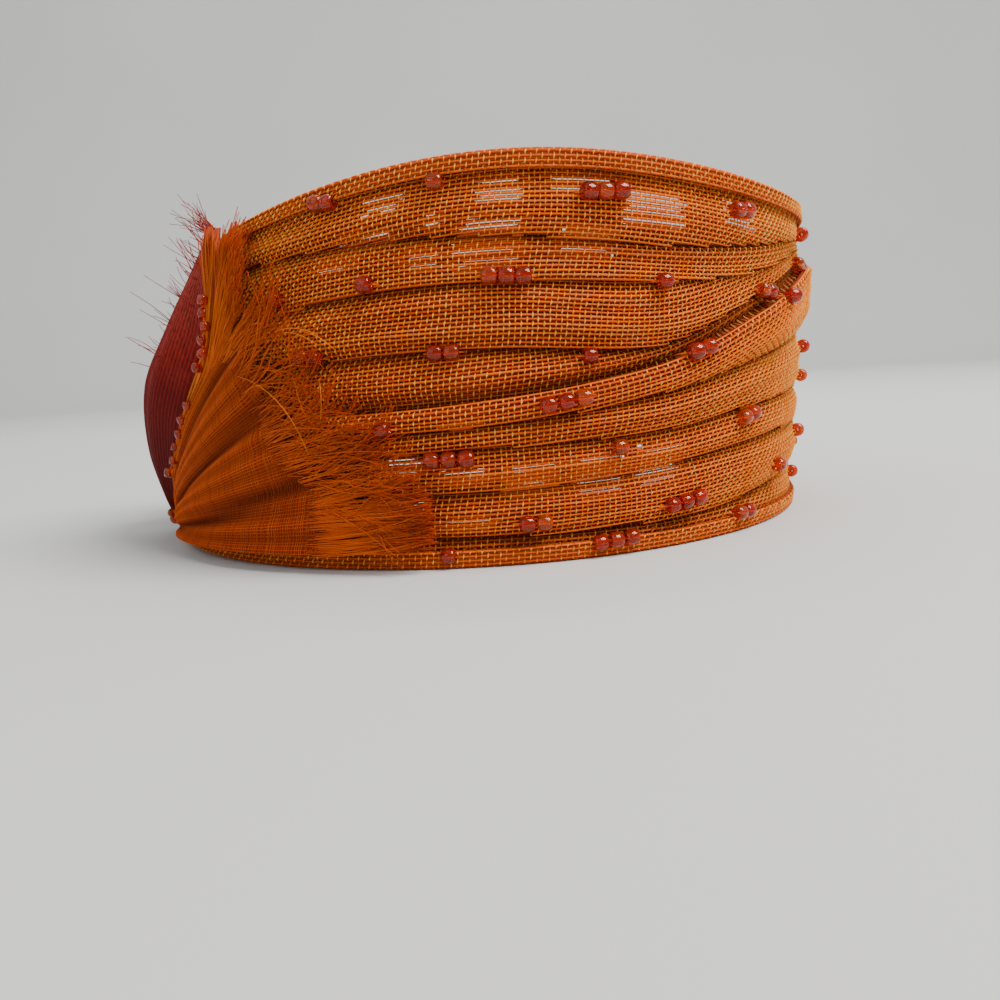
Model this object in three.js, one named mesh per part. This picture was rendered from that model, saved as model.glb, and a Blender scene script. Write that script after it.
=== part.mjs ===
// A draped millinery bandeau: two overlapping cloth drapes on an open band that hugs the front
// and sides of a head, bound along both edges, with a frayed fan and two crimson petals at the
// wearer's right. Millimetres, +Z up. The band stands on its lower edge and its front faces -Y.

import * as THREE from "three";

// Plan of the band, seen from above
const LOWER_HALF_WIDTH = 80;
const UPPER_HALF_WIDTH = 69.5;
const DEPTH_OVER_WIDTH = 1.1;
const UPPER_SHIFT_RIGHT = 9.7;
const UPPER_SHIFT_FORWARD = 17;
const WALL_SWELL = 1;
const END_TURN = 112;
const CORNER_TURN = 24;

// Heights of the band
const FRONT_HEIGHT = 77.3;
const SIDE_HEIGHT = 71;
const END_DROP = 16;
const END_RISE = 12;

// Cloth
const DRAPE_WALL = 1.5;
const FOLD_DEPTH = 1.7;
const FULL_FOLD_SPACING = 4;
const CLOSEST_FOLDS = 0.8;
const LIP_LIFT = 3.4;
const HEM_CLOTH = 1;
const HEM_WIDTH = 3.6;
const CLEARANCE = 0.3;

// Fan of frayed cloth
const FAN_TURN = -73;
const FAN_BASE_HEIGHT = 3.2;
const FAN_REACH = 95;
const FAN_NECK = 4;
const FAN_CLOTH = 1;
const FAN_PUFF = 3.2;
const FAN_PLEAT_DEPTH = 2;
const FAN_TIP_WALL = 0.4;
const FAN_SHOULDER = 44;
const FAN_TUFT_REACH = 76;
const FAN_RAYS = 49;
const FAN_RINGS = 8;

// Directions above the first of these, in degrees, run bunched together up to FAN_SHOULDER and spread
// again in the tuft. The shares say how much of their spread is left.
const BUNCH_ANGLE = 45;
const BUNCHED_SHARE = 0.33;
const TUFT_SHARE = 0.86;

// Petals
const PETAL_CLOTH = 1.2;
const PETAL_HEIGHT = 70;
const PETAL_BULGE = 11.5;
const PETAL_RIB_DEPTH = 0.5;
const PETAL_RIBS = 4;
const BUD_HEIGHT = 30;
const BUD_BULGE = 12.5;

// Mesh steps
const COLUMNS = 40;
const PETAL_COLUMNS = 14;
const PETAL_ROWS = 12;

// Each row is one fold line of a drape, lowest first. "relief" is its height as a share of
// FOLD_DEPTH, plus for a crown and minus for a crease. The other columns are shares of the band's
// height at the turns in FOLD_TURNS.
const FOLD_TURNS = {
  leftEnd: -END_TURN,
  left: -45,
  front: 0,
  frontRight: 25,
  right: 45,
  farRight: 70,
  rightEnd: END_TURN,
};

const LOWER_FOLDS = [
  { name: "hem line", relief: 0, leftEnd: 0.05, left: 0.05, front: 0.045, frontRight: 0.045, right: 0.05,
    farRight: 0.05, rightEnd: 0.05 },
  { name: "bottom crease", relief: -0.7, leftEnd: 0.11, left: 0.1, front: 0.075, frontRight: 0.075,
    right: 0.1, farRight: 0.16, rightEnd: 0.17 },
  { name: "bottom crown", relief: 0.5, leftEnd: 0.16, left: 0.15, front: 0.135, frontRight: 0.15,
    right: 0.18, farRight: 0.22, rightEnd: 0.23 },
  { name: "low crease", relief: -0.4, leftEnd: 0.21, left: 0.2, front: 0.19, frontRight: 0.22, right: 0.27,
    farRight: 0.3, rightEnd: 0.31 },
  { name: "middle crown", relief: 0.4, leftEnd: 0.26, left: 0.25, front: 0.25, frontRight: 0.275,
    right: 0.32, farRight: 0.36, rightEnd: 0.37 },
  { name: "middle crease", relief: -0.6, leftEnd: 0.31, left: 0.285, front: 0.3, frontRight: 0.32,
    right: 0.37, farRight: 0.41, rightEnd: 0.42 },
  { name: "high crown", relief: 0.5, leftEnd: 0.35, left: 0.315, front: 0.33, frontRight: 0.37, right: 0.44,
    farRight: 0.51, rightEnd: 0.52 },
  { name: "strip crease", relief: -0.5, leftEnd: 0.39, left: 0.345, front: 0.355, frontRight: 0.42,
    right: 0.51, farRight: 0.6, rightEnd: 0.62 },
  { name: "strip crown", relief: 0.6, leftEnd: 0.42, left: 0.375, front: 0.382, frontRight: 0.453,
    right: 0.58, farRight: 0.7, rightEnd: 0.73 },
  { name: "lip", relief: 0.3, leftEnd: 0.45, left: 0.4, front: 0.405, frontRight: 0.482, right: 0.625,
    farRight: 0.79, rightEnd: 0.83 },
];

const UPPER_FOLDS = [
  { name: "lip crease", relief: -0.8, leftEnd: 0.47, left: 0.42, front: 0.425, frontRight: 0.5, right: 0.643,
    farRight: 0.802, rightEnd: 0.842 },
  { name: "low crown", relief: 0.4, leftEnd: 0.51, left: 0.46, front: 0.46, frontRight: 0.52, right: 0.662,
    farRight: 0.815, rightEnd: 0.855 },
  { name: "bead crease", relief: -0.7, leftEnd: 0.56, left: 0.56, front: 0.54, frontRight: 0.54,
    right: 0.68, farRight: 0.828, rightEnd: 0.865 },
  { name: "middle crown", relief: 0.6, leftEnd: 0.62, left: 0.62, front: 0.61, frontRight: 0.605,
    right: 0.7, farRight: 0.842, rightEnd: 0.875 },
  { name: "middle crease", relief: -0.2, leftEnd: 0.7, left: 0.7, front: 0.7, frontRight: 0.7, right: 0.75,
    farRight: 0.857, rightEnd: 0.885 },
  { name: "high crown", relief: 0.3, leftEnd: 0.78, left: 0.78, front: 0.765, frontRight: 0.765,
    right: 0.795, farRight: 0.872, rightEnd: 0.9 },
  { name: "high crease", relief: -0.8, leftEnd: 0.86, left: 0.852, front: 0.805, frontRight: 0.79,
    right: 0.825, farRight: 0.887, rightEnd: 0.912 },
  { name: "top crown", relief: 0.5, leftEnd: 0.9, left: 0.893, front: 0.85, frontRight: 0.845,
    right: 0.87, farRight: 0.907, rightEnd: 0.927 },
  { name: "hem line", relief: 0, leftEnd: 0.95, left: 0.95, front: 0.953, frontRight: 0.953, right: 0.953,
    farRight: 0.952, rightEnd: 0.95 },
];

// How far the lower drape's lip stands off the band, as a share of LIP_LIFT at each turn
const LIP_RISE = {
  name: "lip rise", leftEnd: 0.22, left: 0.22, front: 0.4, frontRight: 0.75, right: 1, farRight: 0.9,
  rightEnd: 0.55,
};

// Each row is a direction across the fan, in degrees up from level. "tip" and "cloth" are how far
// the frayed strands and the whole cloth reach there, as shares of FAN_REACH.
const FAN_EDGE = [
  { angle: -1.5, tip: 1, cloth: 0.84 },
  { angle: 3, tip: 0.99, cloth: 0.84 },
  { angle: 10, tip: 0.96, cloth: 0.83 },
  { angle: 15, tip: 0.93, cloth: 0.78 },
  { angle: 23, tip: 0.86, cloth: 0.74 },
  { angle: 29, tip: 0.85, cloth: 0.71 },
  { angle: 36, tip: 0.84, cloth: 0.71 },
  { angle: 43, tip: 0.83, cloth: 0.68 },
  { angle: 48, tip: 0.75, cloth: 0.63 },
  { angle: 54, tip: 0.83, cloth: 0.6 },
  { angle: 62, tip: 0.81, cloth: 0.57 },
  { angle: 76, tip: 0.76, cloth: 0.53 },
  { angle: 91, tip: 0.735, cloth: 0.48 },
];

// Each row is a pleat valley of the fan: its direction at the gather, how far it drifts towards
// the edge and its width, in degrees, and its depth as a share of FAN_PLEAT_DEPTH
const FAN_PLEATS = [
  { angle: 3, drift: 12, width: 3.5, depth: 1 },
  { angle: 21, drift: 8, width: 3, depth: 0.9 },
  { angle: 38, drift: 6, width: 3, depth: 0.5 },
  { angle: 54, drift: 2, width: 4, depth: 0.4 },
  { angle: 68, drift: 0, width: 5, depth: 0.4 },
  { angle: 81, drift: 0, width: 4, depth: 0.3 },
];

// Each row is a level section of the main petal, whose front follows the fan's edge. "height" is a
// share of PETAL_HEIGHT, "back" is its back edge in degrees behind the gather, "bulge" is a share of
// PETAL_BULGE.
const PETAL_SECTIONS = [
  { height: 0, back: 4, bulge: 0.08 },
  { height: 0.1, back: 11, bulge: 0.42 },
  { height: 0.28, back: 19, bulge: 0.85 },
  { height: 0.5, back: 23, bulge: 1 },
  { height: 0.68, back: 22, bulge: 0.72 },
  { height: 0.86, back: 16, bulge: 0.38 },
  { height: 1, back: 7, bulge: 0.12 },
];

// The bud is the folded second petal behind the first: heights are shares of BUD_HEIGHT, turns are
// degrees behind the main petal's widest back edge, bulges are shares of BUD_BULGE.
const BUD_SECTIONS = [
  { height: 0, back: 3, bulge: 0.1 },
  { height: 0.2, back: 6, bulge: 0.55 },
  { height: 0.55, back: 10, bulge: 0.95 },
  { height: 0.85, back: 9, bulge: 0.95 },
  { height: 1, back: 5, bulge: 0.25 },
];
const BUD_BASE_SHARE = 0.16;

const radians = THREE.MathUtils.degToRad;
const smooth = (share) => THREE.MathUtils.smoothstep(share, 0, 1);

// The value at x of a smooth line through points with rising places
function lineThrough(places, values, x) {
  const last = places.length - 1;
  const held = THREE.MathUtils.clamp(x, places[0], places[last]);
  let i = 0;
  while (i < last - 1 && held > places[i + 1]) i += 1;
  const slope = (k) => {
    const before = Math.max(k - 1, 0);
    const after = Math.min(k + 1, last);
    return (values[after] - values[before]) / (places[after] - places[before]);
  };
  const span = places[i + 1] - places[i];
  const s = (held - places[i]) / span;
  const s2 = s * s;
  const s3 = s2 * s;
  return (
    values[i] * (2 * s3 - 3 * s2 + 1) +
    slope(i) * span * (s3 - 2 * s2 + s) +
    values[i + 1] * (3 * s2 - 2 * s3) +
    slope(i + 1) * span * (s3 - s2)
  );
}

const alongBand = (row, turn) =>
  lineThrough(Object.values(FOLD_TURNS), Object.keys(FOLD_TURNS).map((key) => row[key]), turn);

const alongTable = (rows, key, column, x) =>
  lineThrough(rows.map((row) => row[key]), rows.map((row) => row[column]), x);

// Height of the band's upper edge before its ends are rounded
const fullHeight = (turn) =>
  SIDE_HEIGHT + (FRONT_HEIGHT - SIDE_HEIGHT) * Math.cos(radians(turn)) ** 4;

// 0 along the band and 1 at its ends, in a quarter round
function endRounding(turn) {
  const into = Math.max(0, (Math.abs(turn) - (END_TURN - CORNER_TURN)) / CORNER_TURN);
  return 1 - Math.sqrt(Math.max(0, 1 - Math.min(into, 1) ** 2));
}

const lowEdge = (turn) => END_RISE * endRounding(turn);
const highEdge = (turn) => fullHeight(turn) - END_DROP * endRounding(turn);

// A point on the band's outer face at a turn in degrees and a height, moved outwards by "out"
function skin(turn, height, out) {
  const share = height / fullHeight(turn);
  const angle = radians(turn);
  const swell = WALL_SWELL * 4 * share * (1 - share);
  const halfWidth = LOWER_HALF_WIDTH + (UPPER_HALF_WIDTH - LOWER_HALF_WIDTH) * share + swell;
  const outwards = new THREE.Vector2(DEPTH_OVER_WIDTH * Math.sin(angle), -Math.cos(angle)).normalize();
  return new THREE.Vector3(
    UPPER_SHIFT_RIGHT * share + halfWidth * Math.sin(angle) + out * outwards.x,
    -UPPER_SHIFT_FORWARD * share - halfWidth * DEPTH_OVER_WIDTH * Math.cos(angle) + out * outwards.y,
    height,
  );
}

// The turn that lies a length of arc after another, round the lower edge
function turnAfter(start, arc) {
  let turn = start;
  let left = arc;
  const step = 0.5;
  const stepLength = (at) =>
    radians(step) *
    LOWER_HALF_WIDTH *
    Math.hypot(Math.cos(radians(at)), DEPTH_OVER_WIDTH * Math.sin(radians(at)));
  while (left > stepLength(turn)) {
    left -= stepLength(turn);
    turn += step;
  }
  return turn + (step * left) / stepLength(turn);
}

function bandTurns() {
  const turns = [];
  for (let i = 0; i <= COLUMNS; i += 1) {
    const share = (2 * i) / COLUMNS - 1;
    turns.push(END_TURN * (0.6 * share + 0.4 * Math.sin((Math.PI / 2) * share)));
  }
  return turns;
}

// A closed body from faces given as lists of corner points, with shared corners merged
class Body {
  constructor() {
    this.points = [];
    this.faces = [];
  }

  addPoint(point) {
    this.points.push(point.x, point.y, point.z);
    return this.points.length / 3 - 1;
  }

  addQuad(a, b, c, d) {
    this.faces.push(a, b, c, a, c, d);
  }

  geometry() {
    const geometry = new THREE.BufferGeometry();
    geometry.setAttribute("position", new THREE.Float32BufferAttribute(this.points, 3));
    geometry.setIndex(this.faces);
    geometry.computeVertexNormals();
    return geometry;
  }
}

// A wall between an outer and an inner grid of points with the same rows and columns. Seen from
// outside, columns run to the right and rows run up.
function wallBetween(outer, inner) {
  const body = new Body();
  const outerAt = outer.map((row) => row.map((point) => body.addPoint(point)));
  const innerAt = inner.map((row) => row.map((point) => body.addPoint(point)));
  const lastRow = outer.length - 1;
  const lastColumn = outer[0].length - 1;
  for (let j = 0; j < lastRow; j += 1) {
    for (let i = 0; i < lastColumn; i += 1) {
      body.addQuad(outerAt[j][i], outerAt[j][i + 1], outerAt[j + 1][i + 1], outerAt[j + 1][i]);
      body.addQuad(innerAt[j][i], innerAt[j + 1][i], innerAt[j + 1][i + 1], innerAt[j][i + 1]);
    }
    body.addQuad(outerAt[j][0], outerAt[j + 1][0], innerAt[j + 1][0], innerAt[j][0]);
    body.addQuad(outerAt[j][lastColumn], innerAt[j][lastColumn], innerAt[j + 1][lastColumn],
      outerAt[j + 1][lastColumn]);
  }
  for (let i = 0; i < lastColumn; i += 1) {
    body.addQuad(outerAt[0][i], innerAt[0][i], innerAt[0][i + 1], outerAt[0][i + 1]);
    body.addQuad(outerAt[lastRow][i], outerAt[lastRow][i + 1], innerAt[lastRow][i + 1],
      innerAt[lastRow][i]);
  }
  return body.geometry();
}

// Heights and reliefs of a drape's fold lines at a turn, with softly rounded rows between them
function foldRows(folds, turn, lift) {
  const low = lowEdge(turn);
  const tall = highEdge(turn) - low;
  const heights = folds.map((row) => low + tall * alongBand(row, turn));
  for (let i = 1; i < heights.length; i += 1) {
    heights[i] = Math.max(heights[i], heights[i - 1] + CLOSEST_FOLDS);
  }
  const reliefs = folds.map((row, i) => {
    const below = i > 0 ? heights[i] - heights[i - 1] : FULL_FOLD_SPACING;
    const above = i < folds.length - 1 ? heights[i + 1] - heights[i] : FULL_FOLD_SPACING;
    const fullness = Math.min(1, Math.min(below, above) / FULL_FOLD_SPACING);
    return row.relief * FOLD_DEPTH * fullness;
  });
  const rows = [];
  for (let i = 0; i < folds.length; i += 1) {
    rows.push({ height: heights[i], out: reliefs[i] + lift(heights[i]) });
    if (i === folds.length - 1) break;
    const creaseIsBelow = reliefs[i] < reliefs[i + 1];
    const share = creaseIsBelow ? 0.35 : 0.65;
    const rise = creaseIsBelow ? 0.65 : 0.35;
    const height = THREE.MathUtils.lerp(heights[i], heights[i + 1], share);
    rows.push({ height, out: THREE.MathUtils.lerp(reliefs[i], reliefs[i + 1], rise) + lift(height) });
  }
  return rows;
}

// The drape ends this far inside the band's edge, where the binding wraps round it
const bindingInset = HEM_CLOTH + CLEARANCE;

function lowerDrapeRows(turn) {
  const lipHeight = lowEdge(turn) +
    (highEdge(turn) - lowEdge(turn)) * alongBand(LOWER_FOLDS[LOWER_FOLDS.length - 1], turn);
  const strip = 0.22 * FRONT_HEIGHT;
  const lift = (height) =>
    LIP_LIFT * alongBand(LIP_RISE, turn) * smooth(1 - (lipHeight - height) / strip);
  const rows = foldRows(LOWER_FOLDS, turn, lift);
  const edge = { height: lowEdge(turn) + bindingInset, out: 0 };
  rows[0].height = Math.max(rows[0].height, edge.height + CLOSEST_FOLDS);
  rows[0].out = 0;
  return [edge, ...rows];
}

// The upper drape is tucked in behind the lower drape's top rows
const TUCKED_ROWS = 4;

function upperDrapeRows(turn) {
  const lower = lowerDrapeRows(turn);
  const tucked = lower.slice(lower.length - TUCKED_ROWS).map((row) => ({
    height: row.height,
    out: row.out - DRAPE_WALL - CLEARANCE,
  }));
  const lip = tucked[tucked.length - 1];
  const fade = (height) => smooth(1 - (height - lip.height) / FULL_FOLD_SPACING);
  const rows = foldRows(UPPER_FOLDS, turn, (height) => Math.min(0, lip.out) * fade(height));
  const edge = { height: highEdge(turn) - bindingInset, out: 0 };
  const hem = rows[rows.length - 1];
  hem.height = Math.min(hem.height, edge.height - CLOSEST_FOLDS);
  hem.out = 0;
  for (let i = rows.length - 2; i >= 0; i -= 1) {
    rows[i].height = Math.min(rows[i].height, rows[i + 1].height - CLOSEST_FOLDS / 4);
  }
  return [...tucked, ...rows, edge];
}

function drape(rowsAt) {
  const turns = bandTurns();
  const columns = turns.map((turn) => rowsAt(turn));
  const grid = (inset) =>
    columns[0].map((_, j) =>
      turns.map((turn, i) => skin(turn, columns[i][j].height, columns[i][j].out - inset)),
    );
  return wallBetween(grid(0), grid(DRAPE_WALL));
}

// A doubled strip of cloth folded round one edge of the band, as a U in section
function edgeBinding(edgeAt, upwards) {
  const outer = CLEARANCE + HEM_CLOTH;
  const inner = -DRAPE_WALL - CLEARANCE - HEM_CLOTH;
  const round = HEM_CLOTH / 2;
  const section = [
    { out: CLEARANCE, inset: HEM_WIDTH },
    { out: outer, inset: HEM_WIDTH },
    { out: outer, inset: round },
    { out: outer - round, inset: 0 },
    { out: inner + round, inset: 0 },
    { out: inner, inset: round },
    { out: inner, inset: HEM_WIDTH },
    { out: inner + HEM_CLOTH, inset: HEM_WIDTH },
    { out: inner + HEM_CLOTH, inset: HEM_CLOTH },
    { out: CLEARANCE, inset: HEM_CLOTH },
  ];
  const body = new Body();
  const turns = bandTurns();
  const rings = turns.map((turn) =>
    section.map(({ out, inset }) => {
      const height = edgeAt(turn) + (upwards ? -inset : inset);
      return body.addPoint(skin(turn, height, out));
    }),
  );
  const count = section.length;
  const quad = upwards
    ? (a, b, c, d) => body.addQuad(a, b, c, d)
    : (a, b, c, d) => body.addQuad(d, c, b, a);
  for (let i = 0; i < rings.length - 1; i += 1) {
    for (let k = 0; k < count; k += 1) {
      const next = (k + 1) % count;
      quad(rings[i][k], rings[i + 1][k], rings[i + 1][next], rings[i][next]);
    }
  }
  const contour = section.map(({ out, inset }) => new THREE.Vector2(out, inset));
  const caps = THREE.ShapeUtils.triangulateShape(contour, []);
  const clockwise = THREE.ShapeUtils.isClockWise(contour);
  for (const [a, b, c] of caps) {
    const turned = clockwise === upwards ? [a, b, c] : [a, c, b];
    const first = rings[0];
    const last = rings[rings.length - 1];
    body.faces.push(first[turned[0]], first[turned[2]], first[turned[1]]);
    body.faces.push(last[turned[0]], last[turned[1]], last[turned[2]]);
  }
  return body.geometry();
}

// What lies on the band seats on the bindings' outer faces
const seat = 2 * CLEARANCE + HEM_CLOTH;

// The direction that one of the fan's rays really has at a reach
function bunched(angle, reach) {
  const opening = smooth((reach - FAN_SHOULDER) / (FAN_TUFT_REACH - FAN_SHOULDER));
  const share = THREE.MathUtils.lerp(BUNCHED_SHARE, TUFT_SHARE, opening);
  return Math.min(angle, BUNCH_ANGLE) + Math.max(0, angle - BUNCH_ANGLE) * share;
}

// A point of the fan on a ray at a reach in millimetres from its gather
function fanPoint(angle, reach, out) {
  const direction = radians(bunched(angle, reach));
  const height = FAN_BASE_HEIGHT + reach * Math.sin(direction);
  return skin(turnAfter(FAN_TURN, reach * Math.cos(direction)), height, out);
}

// The turn of the fan's last ray at a height
function fanBorder(height) {
  const angle = FAN_EDGE[FAN_EDGE.length - 1].angle;
  const step = 0.25;
  let reach = 0;
  while (reach * Math.sin(radians(bunched(angle, reach))) < height - FAN_BASE_HEIGHT) reach += step;
  return turnAfter(FAN_TURN, reach * Math.cos(radians(bunched(angle, reach))));
}

function fanOut(angle, share) {
  const puff = FAN_PUFF * Math.sin(Math.PI * Math.min(1, share)) ** 0.8;
  let valleys = 0;
  for (const pleat of FAN_PLEATS) {
    const away = (angle - pleat.angle - pleat.drift * share) / pleat.width;
    valleys += pleat.depth * Math.exp(-away * away);
  }
  const open = Math.min(1, share / 0.25);
  return seat + Math.max(0, puff + (FAN_PLEAT_DEPTH * (0.6 - valleys)) * open);
}

function frayedFan() {
  const first = FAN_EDGE[0].angle;
  const last = FAN_EDGE[FAN_EDGE.length - 1].angle;
  const outer = [];
  const inner = [];
  for (let j = 0; j <= FAN_RINGS; j += 1) {
    const outerRow = [];
    const innerRow = [];
    for (let i = 0; i < FAN_RAYS; i += 1) {
      const angle = last + ((first - last) * i) / (FAN_RAYS - 1);
      const cloth = FAN_REACH * alongTable(FAN_EDGE, "angle", "cloth", angle);
      const tip = FAN_REACH * alongTable(FAN_EDGE, "angle", "tip", angle);
      const isLock = i % 2 === 0;
      const shareOfCloth = j / (FAN_RINGS - 1);
      const onCloth = j < FAN_RINGS;
      const reach = onCloth
        ? THREE.MathUtils.lerp(FAN_NECK, cloth, shareOfCloth)
        : isLock ? tip : cloth + CLEARANCE;
      const wall = onCloth ? FAN_CLOTH : FAN_TIP_WALL;
      const under = fanOut(angle, reach / tip);
      outerRow.push(fanPoint(angle, reach, under + wall));
      innerRow.push(fanPoint(angle, reach, under));
    }
    outer.push(outerRow);
    inner.push(innerRow);
  }
  return wallBetween(outer, inner);
}

// A cupped sheet that stands off the band between two edges seated on it
function cuppedPetal(sections, baseHeight, tall, frontAt, backFrom, bulge) {
  const outer = [];
  const inner = [];
  for (let j = 0; j <= PETAL_ROWS; j += 1) {
    const up = j / PETAL_ROWS;
    const read = (column) => alongTable(sections, "height", column, up);
    const height = baseHeight + tall * up;
    const front = frontAt(height);
    const back = backFrom - read("back");
    const outerRow = [];
    const innerRow = [];
    for (let i = 0; i <= PETAL_COLUMNS; i += 1) {
      const across = i / PETAL_COLUMNS;
      const turn = THREE.MathUtils.lerp(back, front, across);
      const arch = Math.sin(Math.PI * across) ** 0.7;
      const rib = PETAL_RIB_DEPTH * Math.cos(2 * Math.PI * PETAL_RIBS * across) * arch;
      const under = seat + Math.max(0, bulge * read("bulge") * arch + rib);
      outerRow.push(skin(turn, height, under + PETAL_CLOTH));
      innerRow.push(skin(turn, height, under));
    }
    outer.push(outerRow);
    inner.push(innerRow);
  }
  return wallBetween(outer, inner);
}

const petalGapTurn = 1.2;

function mainPetal() {
  const frontAt = (height) => fanBorder(height) - petalGapTurn;
  const backFrom = FAN_TURN - petalGapTurn;
  return cuppedPetal(PETAL_SECTIONS, FAN_BASE_HEIGHT, PETAL_HEIGHT, frontAt, backFrom, PETAL_BULGE);
}

function foldedBud() {
  const widest = Math.max(...PETAL_SECTIONS.map((row) => row.back));
  const base = FAN_BASE_HEIGHT + BUD_BASE_SHARE * PETAL_HEIGHT;
  const front = FAN_TURN - 2 * petalGapTurn - widest;
  return cuppedPetal(BUD_SECTIONS, base, BUD_HEIGHT, () => front, front, BUD_BULGE);
}

const cloth = (color, roughness) =>
  new THREE.MeshStandardMaterial({ color, roughness, metalness: 0, side: THREE.DoubleSide });

const orangeWeave = cloth("#b55c1f", 0.75);
const orangeHem = cloth("#a8521c", 0.75);
const frayedSilk = cloth("#a8480f", 0.6);
const crimsonRib = cloth("#6e1413", 0.7);

function piece(name, geometry, material) {
  const mesh = new THREE.Mesh(geometry, material);
  mesh.name = name;
  return mesh;
}

const bandeau = new THREE.Group();
bandeau.add(
  piece("upper_drape", drape(upperDrapeRows), orangeWeave),
  piece("lower_drape", drape(lowerDrapeRows), orangeWeave),
  piece("upper_binding", edgeBinding(highEdge, true), orangeHem),
  piece("lower_binding", edgeBinding(lowEdge, false), orangeHem),
  piece("frayed_fan", frayedFan(), frayedSilk),
  piece("crimson_petal", mainPetal(), crimsonRib),
  piece("folded_bud", foldedBud(), crimsonRib),
);

// The origin is the middle of the box that holds the bandeau, on the surface it stands on
const box = new THREE.Box3().setFromObject(bandeau);
const middle = box.getCenter(new THREE.Vector3());
bandeau.position.set(-middle.x, -middle.y, -box.min.z);

export default bandeau;
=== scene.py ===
"""The looks of a draped millinery bandeau, made round its fixed frame.

Sizes are in millimetres and turn into metres as each mesh is made. A place on the band is a turn in
degrees from its front (plus is to the right), a height and a distance outwards from its face.
"""

import math

import bpy
import numpy as np
from mathutils import Matrix, Vector


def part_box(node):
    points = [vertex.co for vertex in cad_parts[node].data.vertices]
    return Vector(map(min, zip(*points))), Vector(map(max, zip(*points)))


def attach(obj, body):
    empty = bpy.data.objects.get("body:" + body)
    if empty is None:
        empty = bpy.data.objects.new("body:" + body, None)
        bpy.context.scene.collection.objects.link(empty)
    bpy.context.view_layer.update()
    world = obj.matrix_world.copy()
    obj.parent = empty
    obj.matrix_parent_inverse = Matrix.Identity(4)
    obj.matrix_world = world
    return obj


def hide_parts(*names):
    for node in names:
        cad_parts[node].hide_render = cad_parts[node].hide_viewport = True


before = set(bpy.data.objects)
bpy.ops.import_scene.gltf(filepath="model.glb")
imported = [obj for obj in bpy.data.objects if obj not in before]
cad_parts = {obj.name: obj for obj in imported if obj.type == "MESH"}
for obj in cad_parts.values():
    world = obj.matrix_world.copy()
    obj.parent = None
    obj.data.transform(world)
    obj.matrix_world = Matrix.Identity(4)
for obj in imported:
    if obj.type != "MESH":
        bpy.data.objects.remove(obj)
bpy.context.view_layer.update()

MM = 0.001
draws = np.random.default_rng(11)


def table(columns, values):
    """A list of rows, each with its values under the columns' names."""
    return [dict(zip(columns.split(), row)) for row in values]


# Band, as in the part's source
LOWER_HALF_WIDTH = 80.0
UPPER_HALF_WIDTH = 69.5
DEPTH_OVER_WIDTH = 1.1
UPPER_SHIFT_RIGHT = 9.7
UPPER_SHIFT_FORWARD = 17.0
WALL_SWELL = 1.0
END_TURN = 112.0
CORNER_TURN = 24.0
FRONT_HEIGHT = 77.3
SIDE_HEIGHT = 71.0
END_DROP = 16.0
END_RISE = 12.0

# Cloth, as in the part's source
DRAPE_WALL = 1.5
FOLD_DEPTH = 1.7
FULL_FOLD_SPACING = 4.0
CLOSEST_FOLDS = 0.8
LIP_LIFT = 3.4
HEM_CLOTH = 1.0
HEM_WIDTH = 3.6
CLEARANCE = 0.3
SEAT = 2 * CLEARANCE + HEM_CLOTH

# Fan and petals, as in the part's source but for the values that say so
FAN_TURN = -73.0
FAN_BASE_HEIGHT = 3.2
FAN_REACH = 95.0
FAN_NECK = 4.0
FAN_PUFF = 3.2
FAN_PLEAT_DEPTH = 2.0
FAN_SHOULDER = 50.0  # 44 in the source
FAN_TUFT_REACH = 76.0
BUNCH_ANGLE = 45.0
BUNCHED_SHARE = 0.12  # 0.33 in the source
TUFT_SHARE = 0.86
PETAL_CLOTH = 1.2
PETAL_HEIGHT = 70.0
PETAL_BULGE = 11.5
PETAL_RIB_DEPTH = 0.5
PETAL_RIBS = 4
BUD_HEIGHT = 30.0
BUD_BULGE = 12.5
BUD_BASE_SHARE = 0.16
PETAL_GAP_TURN = 1.2

# How far inside the fan's edge, in millimetres, and a petal's, in degrees, the weave below is left out
FAN_MARGIN = 12.0
PETAL_MARGIN = 4.0

# Weave of the band
WEFT_PITCH = 0.8
WARP_PITCH = 1.1
WEFT_RADIUS = 0.27
OVER_WARP_RADIUS = 0.23
UNDER_WARP_RADIUS = 0.04
WEFT_FLATNESS = 0.8
WEFT_SWING = 0.04
WARP_SWING = 0.26
PLEAT_STEP = 0.6
PLEAT_TUCK = 1.3
PLEAT_TUCK_DROP = 1.3
RIPPLE_DEPTH = 0.22
UNDERCLOTH_GAP = 0.5
UNDERCLOTH_WALL = 0.5
UNDERCLOTH_STEP = 1.5
UNDERCLOTH_INSET = 0.5
CLOTH_COLUMNS = 221

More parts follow.
